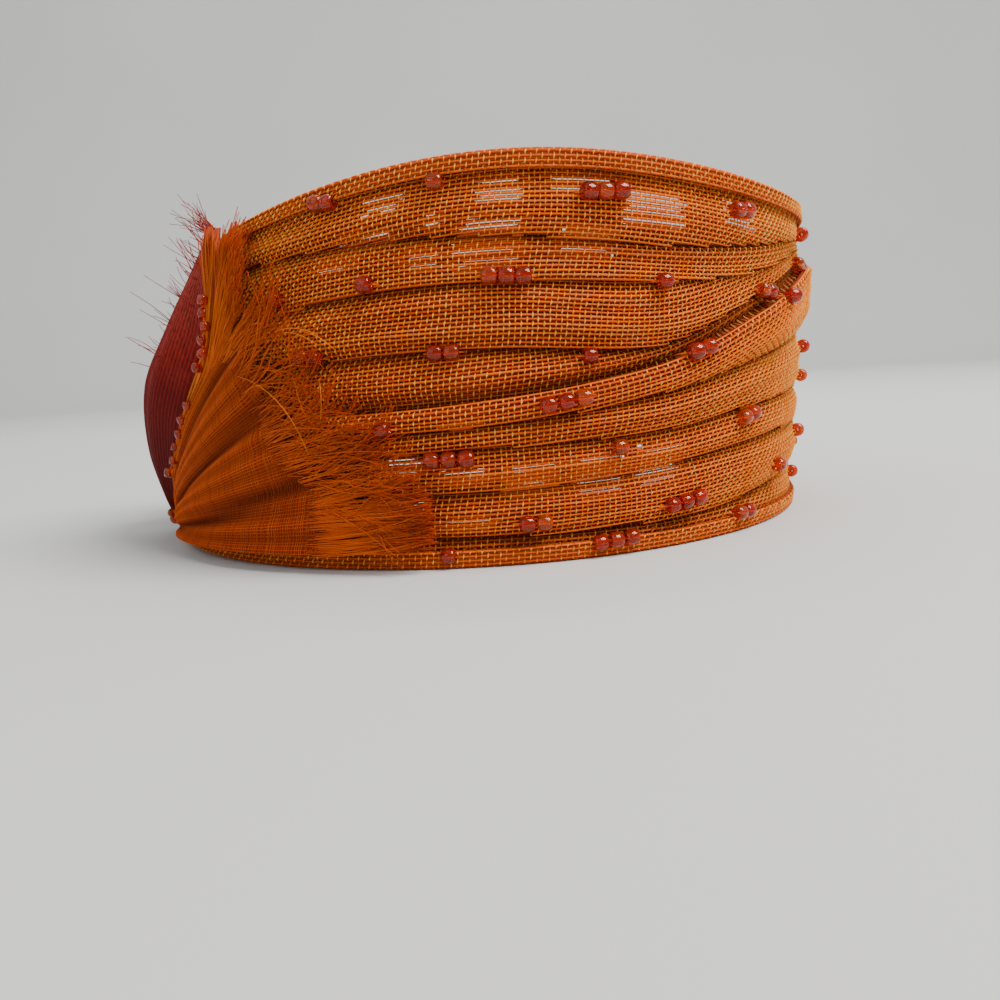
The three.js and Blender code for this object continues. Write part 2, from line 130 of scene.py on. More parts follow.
# Each row is one fold line of a drape, lowest first, with its relief as a share of FOLD_DEPTH and its
# height as a share of the band's at the turns in FOLD_TURNS.
FOLD_TURNS = (-END_TURN, -45, 0, 25, 45, 70, END_TURN)
LOWER_FOLDS = table("relief at", [
    (0, (0.05, 0.05, 0.045, 0.045, 0.05, 0.05, 0.05)),  # hem line
    (-0.7, (0.11, 0.1, 0.075, 0.075, 0.1, 0.16, 0.17)),  # bottom crease
    (0.5, (0.16, 0.15, 0.135, 0.15, 0.18, 0.22, 0.23)),  # bottom crown
    (-0.4, (0.21, 0.2, 0.19, 0.22, 0.27, 0.3, 0.31)),  # low crease
    (0.4, (0.26, 0.25, 0.25, 0.275, 0.32, 0.36, 0.37)),  # middle crown
    (-0.6, (0.31, 0.285, 0.3, 0.32, 0.37, 0.41, 0.42)),  # middle crease
    (0.5, (0.35, 0.315, 0.33, 0.37, 0.44, 0.51, 0.52)),  # high crown
    (-0.5, (0.39, 0.345, 0.355, 0.42, 0.51, 0.6, 0.62)),  # strip crease
    (0.6, (0.42, 0.375, 0.382, 0.453, 0.58, 0.7, 0.73)),  # strip crown
    (0.3, (0.45, 0.4, 0.405, 0.482, 0.625, 0.79, 0.83)),  # lip
])
UPPER_FOLDS = table("relief at", [
    (-0.8, (0.47, 0.42, 0.425, 0.5, 0.643, 0.802, 0.842)),  # lip crease
    (0.4, (0.51, 0.46, 0.46, 0.52, 0.662, 0.815, 0.855)),  # low crown
    (-0.7, (0.56, 0.56, 0.54, 0.54, 0.68, 0.828, 0.865)),  # bead crease
    (0.6, (0.62, 0.62, 0.61, 0.605, 0.7, 0.842, 0.875)),  # middle crown
    (-0.2, (0.7, 0.7, 0.7, 0.7, 0.75, 0.857, 0.885)),  # middle crease
    (0.3, (0.78, 0.78, 0.765, 0.765, 0.795, 0.872, 0.9)),  # high crown
    (-0.8, (0.86, 0.852, 0.805, 0.79, 0.825, 0.887, 0.912)),  # high crease
    (0.5, (0.9, 0.893, 0.85, 0.845, 0.87, 0.907, 0.927)),  # top crown
    (0, (0.95, 0.95, 0.953, 0.953, 0.953, 0.952, 0.95)),  # hem line
])
LIP_RISE = (0.22, 0.22, 0.4, 0.75, 1, 0.9, 0.55)

# Places where one layer of cloth lets the light through: turns in degrees, heights as shares of the band's
SHEER_PATCHES = table("turn wide low high", [
    (-26, 7, 0.78, 0.815),
    (-22, 11, 0.828, 0.848),
    (-19, 6, 0.895, 0.93),
    (-11.5, 5, 0.746, 0.793),
    (-10, 2.5, 0.84, 0.866),
    (-0.5, 7, 0.884, 0.945),
    (-1.5, 9, 0.739, 0.849),
    (11.5, 9, 0.9, 0.945),
    (13, 8, 0.756, 0.812),
    (24, 11, 0.834, 0.93),
    (42, 8, 0.86, 0.94),
    (-15, 7, 0.109, 0.15),
    (-12, 6, 0.245, 0.285),
    (-10, 4, 0.167, 0.187),
    (-2.5, 6, 0.221, 0.251),
    (-2.5, 7, 0.107, 0.127),
    (6.5, 7, 0.181, 0.254),
    (16.5, 7, 0.165, 0.262),
    (26.5, 7, 0.18, 0.285),
    (-3.5, 3.5, 0.358, 0.37),
])
SHEER_FILL = 0.45

# Yarns behind the weave round those places: their depth, radii, drop and painted shade
INNER_DEPTH = 0.45
INNER_RADIUS = 0.34
BARE_RADIUS = 0.19
BARE_DROP = 0.11
INNER_SHADE = 0.2

# Share of a yarn's colour that drifts along the cloth, where the rest differs from yarn to yarn
DRIFT_SHARE = 0.25
# Rows of bricks taller than the cloth, so that their only joints are those along the warps
TALL_ROW = 100.0

# Fan: its edge by direction in degrees up from level, and its pleat valleys
FAN_EDGE = table("angle tip cloth", [
    (-1.5, 1, 0.84),
    (3, 0.99, 0.84),
    (10, 0.96, 0.83),
    (15, 0.93, 0.78),
    (23, 0.86, 0.74),
    (29, 0.85, 0.71),
    (36, 0.84, 0.71),
    (43, 0.83, 0.68),
    (48, 0.75, 0.63),
    (54, 0.83, 0.6),
    (62, 0.81, 0.57),
    (76, 0.76, 0.53),
    (91, 0.735, 0.48),
])
FAN_PLEATS = table("angle drift width depth", [
    (3, 12, 3.5, 1),
    (21, 8, 3, 0.9),
    (38, 6, 3, 0.5),
    (54, 2, 4, 0.4),
    (68, 0, 5, 0.4),
    (81, 0, 4, 0.3),
])
FAN_RIPPLE_DEPTH = 0.22
FAN_RIPPLE_ANGLE = 4.3
FAN_LOWEST_ANGLE = 0.5  # -1.5 in the source
FAN_TABLE_STEP = 0.25
FAN_RAYS = 150
# Heights over the fan's own form of its cloth's two faces, its rays, its cross threads and their weaving
FAN_CLOTH_OUT = 0.55
FAN_CLOTH_IN = 0.2
RAY_OUT = 0.62
CROSS_OUT = 0.66
CROSS_SWING = 0.06
FAN_RING_PITCH = 0.58
FAN_THREAD_RADIUS = 0.12
# How the threads leave the cloth between two directions: strands, how far they stray sideways in degrees
# and lift off in millimetres, how much their lengths differ and how much further than the edge they reach
FRINGE_ZONES = table("first last strands clumps stray curl lift uneven thickness longer", [
    (0.3, 9, 210, 14, 1.1, 0.2, 1.4, 0.14, 0.12, 4.5),  # low tuft
    (7, 22, 210, 60, 3.6, 0.9, 2.4, 0.5, 0.11, 3),  # low edge
    (20, 44, 125, 60, 6.5, 1.6, 3.4, 0.5, 0.12, 1.5),  # middle edge
    (42, 62, 150, 14, 3, 0.5, 2.4, 0.4, 0.12, 0),  # high edge
    (58, 91, 260, 17, 2.6, 0.25, 1.8, 0.14, 0.16, 0),  # top tuft
])
# Single threads that show against the weave: ends in degrees and millimetres from the gather
LONG_THREADS = table("from_angle from_reach to_angle to_reach bow", [
    (36, 62, 16, 75, 3),
    (25, 81, 20, 79, 1),
    (35, 77, 30, 83, 1),
    (33, 84, 32, 76, -1),
    (31, 84, 36, 76, 1),
    (33, 81, 28, 86, 1),
])

# Petals: shares of their height, degrees behind the gather and shares of their bulge
PETAL_SECTIONS = table("height back bulge", [
    (0, 4, 0.08),
    (0.1, 11, 0.42),
    (0.28, 19, 0.85),
    (0.5, 23, 1),
    (0.68, 22, 0.72),
    (0.86, 16, 0.38),
    (1, 7, 0.12),
])
BUD_SECTIONS = table("height back bulge", [
    (0, 3, 0.1),
    (0.2, 6, 0.55),
    (0.55, 10, 0.95),
    (0.85, 9, 0.95),
    (1, 5, 0.25),
])
CORD_RIBS_PER_DEGREE = 1.1
CORD_RIB_DEPTH = 0.36
PETAL_HAIRS = 110

# Beads
BEAD_LENGTH = 3.0
BEAD_DIAMETER = 3.3
BEAD_HOLE = 0.45
BEAD_SPACING = 3.15
# Each row is a run of beads along the weave: its middle, and its rise from bead to bead in millimetres
BEAD_RUNS = table("turn share beads rise", [
    (-29, 0.953, 2, -0.2),
    (-10, 0.94, 1, 0),
    (15, 0.903, 3, 0),
    (40.5, 0.906, 2, 0.1),
    (69, 0.903, 1, 0),
    (65, 0.8, 2, -0.6),
    (48, 0.702, 2, -0.3),
    (53, 0.692, 1, 0),
    (25, 0.701, 1, 0),
    (1.3, 0.711, 3, -0.2),
    (-19.5, 0.726, 1, 0),
    (-37, 0.737, 1, 0),
    (-28.5, 0.566, 2, -0.3),
    (-7, 0.541, 2, 0),
    (14, 0.517, 1, 0),
    (31, 0.532, 2, 0.7),
    (73, 0.548, 1, 0),
    (73, 0.45, 1, 0),
    (10.4, 0.409, 3, 0.5),
    (44, 0.348, 2, 0.6),
    (71, 0.263, 1, 0),
    (19, 0.287, 1, 0),
    (-14.5, 0.364, 1, 0),
    (-5, 0.28, 3, 0),
    (55, 0.179, 1, 0),
    (73, 0.112, 1, 0),
    (30.5, 0.125, 3, 0.4),
    (7.5, 0.108, 2, 0),
    (44.3, 0.058, 2, 0),
    (19.4, 0.043, 3, 0.2),
    (-4.2, 0.035, 1, 0),
    (88, 0.7, 2, 0),
    (92, 0.34, 2, 0),
    (101, 0.53, 1, 0),
    (84, 0.2, 1, 0),
])
# Two short strings where the fan meets the petal, in millimetres
BEAD_STRINGS = table("low high beads out", [
    (42, 56, 6, 7.2),
    (18, 34, 6, 6.8),
])
# Two beads over the fan's gather
GATHER_BEADS = table("turn height out scale", [
    (-74.5, 4.6, 4.6, 0.95),
    (-72.6, 6.4, 5.6, 0.6),
])
BEAD_SINK = 0.45
BEAD_THREAD_RADIUS = 0.19
# Both strings: the scale of their beads, and their degrees from the fan's border and from side to side
STRING_BEAD_SCALE = 0.72
STRING_TURN = 1.4
STRING_ZIGZAG = 0.5

# Yarns over the band's raw ends: millimetres in from the end and out from the weave's face
END_CORDS = [
    (2.7, 0.1), (2.25, 0.2), (1.8, 0.27), (1.35, 0.32), (0.9, 0.34), (0.45, 0.3), (0.05, 0.15),
    (-0.2, -0.2), (-0.28, -0.6), (-0.25, -1.0), (-0.1, -1.35), (0.3, -1.6), (0.75, -1.7), (1.2, -1.72),
    (1.65, -1.7),
]
END_CORD_RADIUS = 0.29

# Zigzag stitches beside each binding: how many points, and their swing and thickness in millimetres
STITCHES = 161
STITCH_SWING = 0.9
STITCH_RADIUS = 0.12

# Camera, in the band's own axes: place, aim and focal length
CAMERA_PLACE = (9.4, -280.0, 39.4)
CAMERA_YAW = -1.33
CAMERA_PITCH = 7.84
CAMERA_ROLL = -3.41
CAMERA_LENS = 36.0
CAMERA_SENSOR = 36.0

# Floor, in metres
FLOOR_RADIUS = 1.5
FLOOR_CURVE = 0.7
FLOOR_TOP = 1.3


def smooth(share):
    held = np.clip(share, 0, 1)
    return held * held * (3 - 2 * held)


def line_through(places, values, x):
    """The value at x of a smooth line through points with rising places."""
    places = np.asarray(places, float)
    values = np.asarray(values, float)
    last = len(places) - 1
    held = np.clip(x, places[0], places[last])
    i = np.clip(np.searchsorted(places, held, side="right") - 1, 0, last - 1)
    before = np.maximum(np.arange(last + 1) - 1, 0)
    after = np.minimum(np.arange(last + 1) + 1, last)
    slopes = (values[after] - values[before]) / (places[after] - places[before])
    span = places[i + 1] - places[i]
    s = (held - places[i]) / span
    s2 = s * s
    s3 = s2 * s
    return (
        values[i] * (2 * s3 - 3 * s2 + 1)
        + slopes[i] * span * (s3 - 2 * s2 + s)
        + values[i + 1] * (3 * s2 - 2 * s3)
        + slopes[i + 1] * span * (s3 - s2)
    )


def along_table(rows, key, column, x):
    return line_through([row[key] for row in rows], [row[column] for row in rows], x)


def full_height(turn):
    return SIDE_HEIGHT + (FRONT_HEIGHT - SIDE_HEIGHT) * np.cos(np.radians(turn)) ** 4


def end_rounding(turn):
    into = np.clip((np.abs(turn) - (END_TURN - CORNER_TURN)) / CORNER_TURN, 0, 1)
    return 1 - np.sqrt(1 - into**2)


def low_edge(turn):
    return END_RISE * end_rounding(turn)


def high_edge(turn):
    return full_height(turn) - END_DROP * end_rounding(turn)


def outward(turn):
    angle = np.radians(turn)
    across = np.stack([DEPTH_OVER_WIDTH * np.sin(angle), -np.cos(angle), 0 * angle], -1)
    return across / np.linalg.norm(across, axis=-1, keepdims=True)


def skin(turn, height, out):
    """Points on the band's outer face at turns and heights, moved outwards."""
    turn, height, out = np.broadcast_arrays(turn, height, out)
    share = height / full_height(turn)
    angle = np.radians(turn)
    swell = WALL_SWELL * 4 * share * (1 - share)
    half_width = LOWER_HALF_WIDTH + (UPPER_HALF_WIDTH - LOWER_HALF_WIDTH) * share + swell
    x = UPPER_SHIFT_RIGHT * share + half_width * np.sin(angle)
    y = -UPPER_SHIFT_FORWARD * share - half_width * DEPTH_OVER_WIDTH * np.cos(angle)
    return np.stack([x, y, height], -1) + out[..., None] * outward(turn)


def arc_per_degree(turn):
    angle = np.radians(turn)
    middle = (LOWER_HALF_WIDTH + UPPER_HALF_WIDTH) / 2
    return math.radians(1) * middle * np.hypot(np.cos(angle), DEPTH_OVER_WIDTH * np.sin(angle))


def turns_along(pitch):
    """Turns from one end of the band to the other that lie a pitch apart."""
    fine = np.linspace(-END_TURN, END_TURN, 1800)
    arc = np.concatenate([[0], np.cumsum(np.diff(fine) * arc_per_degree((fine[1:] + fine[:-1]) / 2))])
    count = int(round(arc[-1] / pitch))
    return np.interp(np.linspace(0, arc[-1], count + 1), arc, fine)


def place_of_skin():
    """Where the skin's own origin lies in the frame, from the box of the lower binding."""
    low, high = (np.array(corner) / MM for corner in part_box("lower_binding"))
    turn, inset = np.meshgrid(np.linspace(-END_TURN, END_TURN, 400), np.linspace(0, HEM_WIDTH, 8))
    points = skin(turn, low_edge(turn) + inset, CLEARANCE + HEM_CLOTH).reshape(-1, 3)
    inner = skin(turn, low_edge(turn) + inset, -DRAPE_WALL - CLEARANCE - HEM_CLOTH).reshape(-1, 3)
    both = np.concatenate([points, inner])
    middle = (both.min(axis=0) + both.max(axis=0)) / 2
    shift = (low + high) / 2 - middle
    shift[2] = 0
    return shift


SHIFT = place_of_skin()


def fold_lines(folds, turn):
    """Heights and reliefs of fold lines at turns, one row for each line."""
    low = low_edge(turn)
    tall = high_edge(turn) - low
    heights = np.stack([low + tall * line_through(FOLD_TURNS, row["at"], turn) for row in folds])
    for i in range(1, len(heights)):
        heights[i] = np.maximum(heights[i], heights[i - 1] + CLOSEST_FOLDS)
    gaps = np.diff(heights, axis=0)
    full = np.full_like(gaps[:1], FULL_FOLD_SPACING)
    least = np.minimum(np.concatenate([full, gaps]), np.concatenate([gaps, full]))
    fullness = np.minimum(1, least / FULL_FOLD_SPACING)
    reliefs = np.stack([0 * low + row["relief"] * FOLD_DEPTH for row in folds])
    return heights, reliefs * fullness


def lip_height(turn):
    share = line_through(FOLD_TURNS, LOWER_FOLDS[-1]["at"], turn)
    return low_edge(turn) + (high_edge(turn) - low_edge(turn)) * share


def lower_lines(turn):
    """Fold lines of the lower drape, with its edge inside the binding first."""
    heights, outs = fold_lines(LOWER_FOLDS, turn)
    strip = 0.22 * FRONT_HEIGHT
    rise = LIP_LIFT * line_through(FOLD_TURNS, LIP_RISE, turn)
    outs = outs + rise * smooth(1 - (lip_height(turn) - heights) / strip)
    edge = low_edge(turn) + HEM_CLOTH + CLEARANCE
    heights[0] = np.maximum(heights[0], edge + CLOSEST_FOLDS)
    outs[0] = 0
    return np.concatenate([edge[None], heights]), np.concatenate([0 * edge[None], outs])


def upper_lines(turn):
    """Fold lines of the upper drape, with its tucked edge first and its edge in the binding last."""
    lower_heights, lower_outs = lower_lines(turn)
    tucked_out = lower_outs[-2:] - DRAPE_WALL - CLEARANCE
    tucked_height = lower_heights[-2:]
    heights, outs = fold_lines(UPPER_FOLDS, turn)
    lip_out = np.minimum(0, tucked_out[-1])
    outs = outs + lip_out * smooth(1 - (heights - tucked_height[-1]) / FULL_FOLD_SPACING)
    edge = high_edge(turn) - HEM_CLOTH - CLEARANCE
    heights[-1] = np.minimum(heights[-1], edge - CLOSEST_FOLDS)
    outs[-1] = 0
    for i in range(len(heights) - 2, -1, -1):
        heights[i] = np.minimum(heights[i], heights[i + 1] - CLOSEST_FOLDS / 4)
    heights = np.concatenate([tucked_height, heights, edge[None]])
    outs = np.concatenate([tucked_out, outs, 0 * edge[None]])
    return heights, outs


class Pleat:
    """One fold of cloth between two creases of a drape, whose yarns run along its guide line.

    Painted shade darkens the yarns near each crease, by a strength and over a width in millimetres.
    """

    def __init__(self, lines, first, guide, last, starts_pleat, ends_pleat, low_crease_shade, high_crease_shade,
                 crease=0):
        self.lines = lines
        self.first = first
        self.guide = guide
        self.last = last
        self.starts_pleat = starts_pleat
        self.ends_pleat = ends_pleat
        self.low_crease_shade = low_crease_shade
        self.high_crease_shade = high_crease_shade
        self.crease_line = first + crease

    def crease_shade(self, turn, height):
        """How much painted crease shade places get, from 0 to 1."""
        heights = self.lines(turn)[0]
        low_strength, low_width = self.low_crease_shade
        high_strength, high_width = self.high_crease_shade
        above = np.maximum(0, height - heights[self.crease_line]) / low_width
        below = np.maximum(0, heights[self.last] - height) / high_width
        return low_strength * np.exp(-above * above) + high_strength * np.exp(-below * below)

    def low(self, turn):
        return self.lines(turn)[0][self.first]

    def high(self, turn):
        return self.lines(turn)[0][self.last] + (PLEAT_TUCK if self.ends_pleat else 0)

    def middle(self, turn):
        return self.lines(turn)[0][self.guide]

    def out(self, turn, height):
        heights, outs = self.lines(turn)
        heights = heights[self.first : self.last + 1]
        outs = outs[self.first : self.last + 1].copy()
        if self.starts_pleat:
            outs[0] += PLEAT_STEP
        result = outs[0] + 0 * height
        final = len(heights) - 1
        for i in range(final):
            share = np.clip((height - heights[i]) / (heights[i + 1] - heights[i]), 0, 1)
            if i == 0 and self.starts_pleat:
                eased = np.sin(share * math.pi / 2) ** 0.8
            elif i == final - 1 and self.ends_pleat:
                eased = 1 - np.sin((1 - share) * math.pi / 2) ** 0.8
            else:
                eased = smooth(share)
            result = result + (outs[i + 1] - outs[i]) * eased
        if self.ends_pleat:
            above = np.clip((height - heights[final]) / PLEAT_TUCK, 0, 1)
            result = result - PLEAT_TUCK_DROP * above**0.7
        away = height - self.middle(turn)
        ripple = np.sin(2 * math.pi * away / 4.9 + self.first + 1.6 * np.sin(turn / 21 + self.first))
        strength = 0.5 + 0.5 * np.sin(turn / 27 + 2 * self.first)
        return result + RIPPLE_DEPTH * ripple * strength


# The last two pairs of each pleat give the strength and width in millimetres of painted shade above its low
# crease and below its high one
LOWER_PLEATS = [
    Pleat(lower_lines, 0, 1, 2, False, True, (0.5, 4), (0.75, 1.3)),
    Pleat(lower_lines, 2, 3, 4, True, True, (0.15, 1), (0.75, 1.5)),
    Pleat(lower_lines, 4, 5, 6, True, True, (0.15, 1), (0.7, 1.2)),
    Pleat(lower_lines, 6, 7, 8, True, True, (0.15, 1), (0.75, 1.4)),
    Pleat(lower_lines, 8, 10, 10, True, True, (0.15, 1), (0, 1)),
]
UPPER_PLEATS = [
    Pleat(upper_lines, 0, 3, 4, False, True, (0.95, 2.6), (0.8, 1.5), crease=1),
    Pleat(upper_lines, 4, 5, 6, True, True, (0.15, 1), (0.7, 1.4)),
    Pleat(upper_lines, 6, 7, 8, True, True, (0.15, 1), (0.75, 1.8)),
    Pleat(upper_lines, 8, 10, 11, True, False, (0.15, 1), (0.5, 3.5)),
]


def new_piece(name, points, faces, materials, looks=None, values=None, maps=None):
    """A shown mesh from points in millimetres and lists of faces with equal numbers of corners."""
    faces = [part for part in faces if len(part)]
    mesh = bpy.data.meshes.new(name)
    mesh.vertices.add(len(points))
    mesh.vertices.foreach_set("co", ((points + SHIFT) * MM).astype(np.float32).ravel())
    sizes = np.concatenate([np.full(len(part), part.shape[1]) for part in faces])
    corners = np.concatenate([part.ravel() for part in faces]).astype(np.int32)
    mesh.loops.add(len(corners))
    mesh.loops.foreach_set("vertex_index", corners)
    mesh.polygons.add(len(sizes))
    mesh.polygons.foreach_set("loop_start", np.concatenate([[0], np.cumsum(sizes)[:-1]]).astype(np.int32))
    mesh.polygons.foreach_set("use_smooth", np.ones(len(sizes), bool))
    if looks is not None:
        mesh.polygons.foreach_set("material_index", looks.astype(np.int32))
    mesh.update(calc_edges=True)
    for material in materials:
        mesh.materials.append(material)
    for key, column in (values or {}).items():
        attribute = mesh.attributes.new(key, "FLOAT", "POINT")
        attribute.data.foreach_set("value", column.astype(np.float32))
    if maps is not None:
        layer = mesh.uv_layers.new(name="cloth")
        layer.data.foreach_set("uv", maps[corners].astype(np.float32).ravel())
    piece = bpy.data.objects.new(name, mesh)
    bpy.context.scene.collection.objects.link(piece)
    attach(piece, "root")
    return piece


def tubes(centres, radii, runs, ups, sides=3, flatness=1.0):
    """Points and faces of closed tubes, one along each run of centres with the same number."""
    joined = runs[1:] == runs[:-1]
    steps = np.where(joined[:, None], centres[1:] - centres[:-1], 0)
    tangents = np.zeros_like(centres)
    tangents[:-1] += steps
    tangents[1:] += steps
    tangents /= np.maximum(np.linalg.norm(tangents, axis=1, keepdims=True), 1e-9)
    across = np.cross(tangents, ups)
    across /= np.maximum(np.linalg.norm(across, axis=1, keepdims=True), 1e-9)
    above = np.cross(across, tangents)
    spin = 2 * math.pi * np.arange(sides) / sides + math.pi / 2
    ring = (
        across[:, None] * np.cos(spin)[None, :, None]
        + above[:, None] * flatness * np.sin(spin)[None, :, None]
    )
    points = (centres[:, None] + radii[:, None, None] * ring).reshape(-1, 3)
    start = np.flatnonzero(joined)[:, None] * sides
    k = np.arange(sides)[None]
    after = (k + 1) % sides
    quads = np.stack([start + k, start + sides + k, start + sides + after, start + after], -1)
    ends = np.concatenate([[True], ~joined, [True]])
    firsts = np.flatnonzero(ends[:-1] & ~ends[1:])[:, None] * sides + k
    lasts = np.flatnonzero(~ends[:-1] & ends[1:])[:, None] * sides + k[:, ::-1]
    return points, quads.reshape(-1, 4), np.concatenate([firsts, lasts])


def kept_runs(kept):
    """Run numbers for rows of centres, broken where a centre isn't kept, and which centres stay."""
    padded = np.zeros((kept.shape[0], kept.shape[1] + 2), bool)
    padded[:, 1:-1] = kept
    middle = padded[:, 1:-1]
    lone = middle & ~padded[:, :-2] & ~padded[:, 2:]
    stays = middle & ~lone
    breaks = ~stays
    numbers = np.cumsum(breaks, axis=1) + np.arange(kept.shape[0])[:, None] * (kept.shape[1] + 1)
    return numbers[stays], stays


def yarn_piece(name, parts, material, values=None, flatness=1.0, sides=3):
    """One mesh of all the yarns in parts, each of centres, radii, run numbers and outward directions."""
    centres = np.concatenate([part[0] for part in parts])
    radii = np.concatenate([part[1] for part in parts])
    offset = 0
    runs = []
    for part in parts:
        runs.append(part[2] + offset)
        offset = runs[-1].max() + 1 if len(part[2]) else offset
    runs = np.concatenate(runs)
    ups = np.concatenate([part[3] for part in parts])
    points, quads, caps = tubes(centres, radii, runs, ups, sides, flatness)
    columns = {key: np.repeat(column, sides) for key, column in (values or {}).items()}
    return new_piece(name, points, [quads, caps], [material], values=columns)


def wall(name, outer, inner, kept, materials, maps=None):
    """A closed cloth wall between two grids of points, open where its faces aren't kept."""
    rows, columns = outer.shape[:2]
    index = np.arange(rows * columns).reshape(rows, columns)
    a = index[:-1, :-1]
    b = index[:-1, 1:]
    c = index[1:, 1:]
    d = index[1:, :-1]
    deep = rows * columns
    front = np.stack([a, b, c, d], -1)[kept]
    back = np.stack([a, d, c, b], -1)[kept] + deep
    bordered = np.zeros((rows + 1, columns + 1), bool)
    bordered[1:-1, 1:-1] = kept
    inside = bordered[1:-1, 1:-1]
    sides = [
        (a, b, ~bordered[:-2, 1:-1]),
        (b, c, ~bordered[1:-1, 2:]),
        (c, d, ~bordered[2:, 1:-1]),
        (d, a, ~bordered[1:-1, :-2]),
    ]
    rims = []
    for start, end, bare in sides:
        bare = bare & inside
        s = start[bare]
        e = end[bare]
        rims.append(np.stack([e, s, s + deep, e + deep], -1))
    rims = np.concatenate(rims)
    faces = np.concatenate([front, back, rims])
    looks = np.concatenate([np.zeros(len(front)), np.ones(len(back)), np.zeros(len(rims))])
    points = np.concatenate([outer.reshape(-1, 3), inner.reshape(-1, 3)])
    if maps is not None:
        maps = np.concatenate([maps.reshape(-1, 2)] * 2)
    if len(materials) == 1:
        looks = None
    return new_piece(name, points, [faces], materials, looks=looks, maps=maps)


class Shader:
    """A material's node tree, with short ways to add and join its nodes."""

    def __init__(self, name):
        self.material = bpy.data.materials.new(name)
        self.material.use_nodes = True
        self.tree = self.material.node_tree
        self.surface = self.tree.nodes["Principled BSDF"]

    def node(self, kind, inputs=None, **settings):
        node = self.tree.nodes.new(kind)
        for key, value in settings.items():
            setattr(node, key, value)
        for key, value in (inputs or {}).items():
            if isinstance(value, bpy.types.NodeSocket):
                self.tree.links.new(value, node.inputs[key])
            else:
                node.inputs[key].default_value = value
        return node

    def set(self, **values):
        for key, value in values.items():
            socket = self.surface.inputs[key.replace("_", " ")]
            if isinstance(value, bpy.types.NodeSocket):
                self.tree.links.new(value, socket)
            else:
                socket.default_value = value

    def ramp(self, factor, stops):
        node = self.node("ShaderNodeValToRGB", {"Fac": factor})
        elements = node.color_ramp.elements
        while len(elements) < len(stops):
            elements.new(0.5)
        for element, (place, colour) in zip(elements, stops):
            element.position = place
            element.color = (*colour, 1)
        return node.outputs["Color"]

    def noise(self, scale, detail=2.0, stretch=None):
        where = self.node("ShaderNodeTexCoord").outputs["Object"]
        if stretch:
            where = self.node("ShaderNodeMapping", {"Vector": where, "Scale": stretch}).outputs["Vector"]
        inputs = {"Vector": where, "Scale": scale, "Detail": detail}
        return self.node("ShaderNodeTexNoise", inputs).outputs["Fac"]

    def mix(self, factor, first, second):
        node = self.node("ShaderNodeMix", data_type="RGBA")
        for key, value in ((0, factor), (6, first), (7, second)):
            if isinstance(value, bpy.types.NodeSocket):
                self.tree.links.new(value, node.inputs[key])
            else:
                node.inputs[key].default_value = value if key == 0 else (*value, 1)
        return node.outputs[2]

    def math(self, kind, first, second):
        return self.node("ShaderNodeMath", {0: first, 1: second}, operation=kind).outputs[0]

    def bump(self, height, strength, distance):
        node = self.node("ShaderNodeBump", {"Height": height, "Strength": strength, "Distance": distance})
        self.tree.links.new(node.outputs["Normal"], self.surface.inputs["Normal"])

    def each(self):
        return self.node("ShaderNodeNewGeometry").outputs["Random Per Island"]

    def value(self, key):
        return self.node("ShaderNodeAttribute", attribute_name=key).outputs["Fac"]


def yarn_material(name, stops, roughness):
    """Silk yarn whose colour differs from yarn to yarn, drifts along the cloth and darkens with painted
    shade in creases and other shaded places, from its crease values.
    """
    shader = Shader(name)
    blend = shader.math("ADD", shader.math("MULTIPLY", shader.each(), 1 - DRIFT_SHARE),
                        shader.math("MULTIPLY", shader.noise(55, 2), DRIFT_SHARE))
    # Painted shade: the crease values mix the yarn toward a near black red
    colour = shader.mix(shader.value("crease"), shader.ramp(blend, stops), (0.10, 0.008, 0.001))
    shader.set(Base_Color=colour, Roughness=roughness, Specular_IOR_Level=0.25,
               Specular_Tint=(1, 0.55, 0.25, 1))
    shader.bump(shader.noise(2600, 3), 0.3, 0.0002)
    return shader.material


def plain_material(name, scale, stops, roughness, specular, grain=None):
    """A matt surface in two clouded colours, with an optional grain of a scale, strength and distance."""
    shader = Shader(name)
    detail = 3 if grain else 2
    shader.set(Base_Color=shader.ramp(shader.noise(scale, detail), stops), Roughness=roughness,
               Specular_IOR_Level=specular)
    if grain:
        shader.bump(shader.noise(grain[0], 3), grain[1], grain[2])
    return shader.material


def brick_node(shader, colours, mortar_size, smooth, row_height):
    """Threads of the inner face as bricks, two warps wide, on its map in millimetres."""
    first, second, mortar = colours
    return shader.node("ShaderNodeTexBrick", {
        "Vector": shader.node("ShaderNodeUVMap", uv_map="cloth").outputs["UV"],
        "Color1": (*first, 1),
        "Color2": (*second, 1),
        "Mortar": (*mortar, 1),
        "Scale": 1.0,
        "Mortar Size": mortar_size,
        "Mortar Smooth": smooth,
        "Brick Width": 2 * WARP_PITCH,
        "Row Height": row_height,
    })


def lining_material():
    """The inner face: plain weave with the pitches of the outer one."""
    shader = Shader("inner_weave")
    threads = ((0.62, 0.15, 0.02), (0.50, 0.11, 0.015), (0.20, 0.025, 0.005))
    bricks = brick_node(shader, threads, 0.14, 0.6, WEFT_PITCH)
    gold = brick_node(shader, ((1, 1, 1), (1, 1, 1), (0, 0, 0)), 0.12, 0.3, TALL_ROW)
    cast = shader.noise(60, 3)
    tinted = shader.mix(shader.math("MULTIPLY", cast, 0.6), bricks.outputs["Color"], (0.30, 0.06, 0.01))
    shader.set(Base_Color=shader.mix(gold.outputs["Color"], (0.72, 0.38, 0.10), tinted), Roughness=0.7,
               Sheen_Weight=0.2, Specular_IOR_Level=0.25)
    shader.bump(bricks.outputs["Fac"], -0.6, 0.0003)
    return shader.material


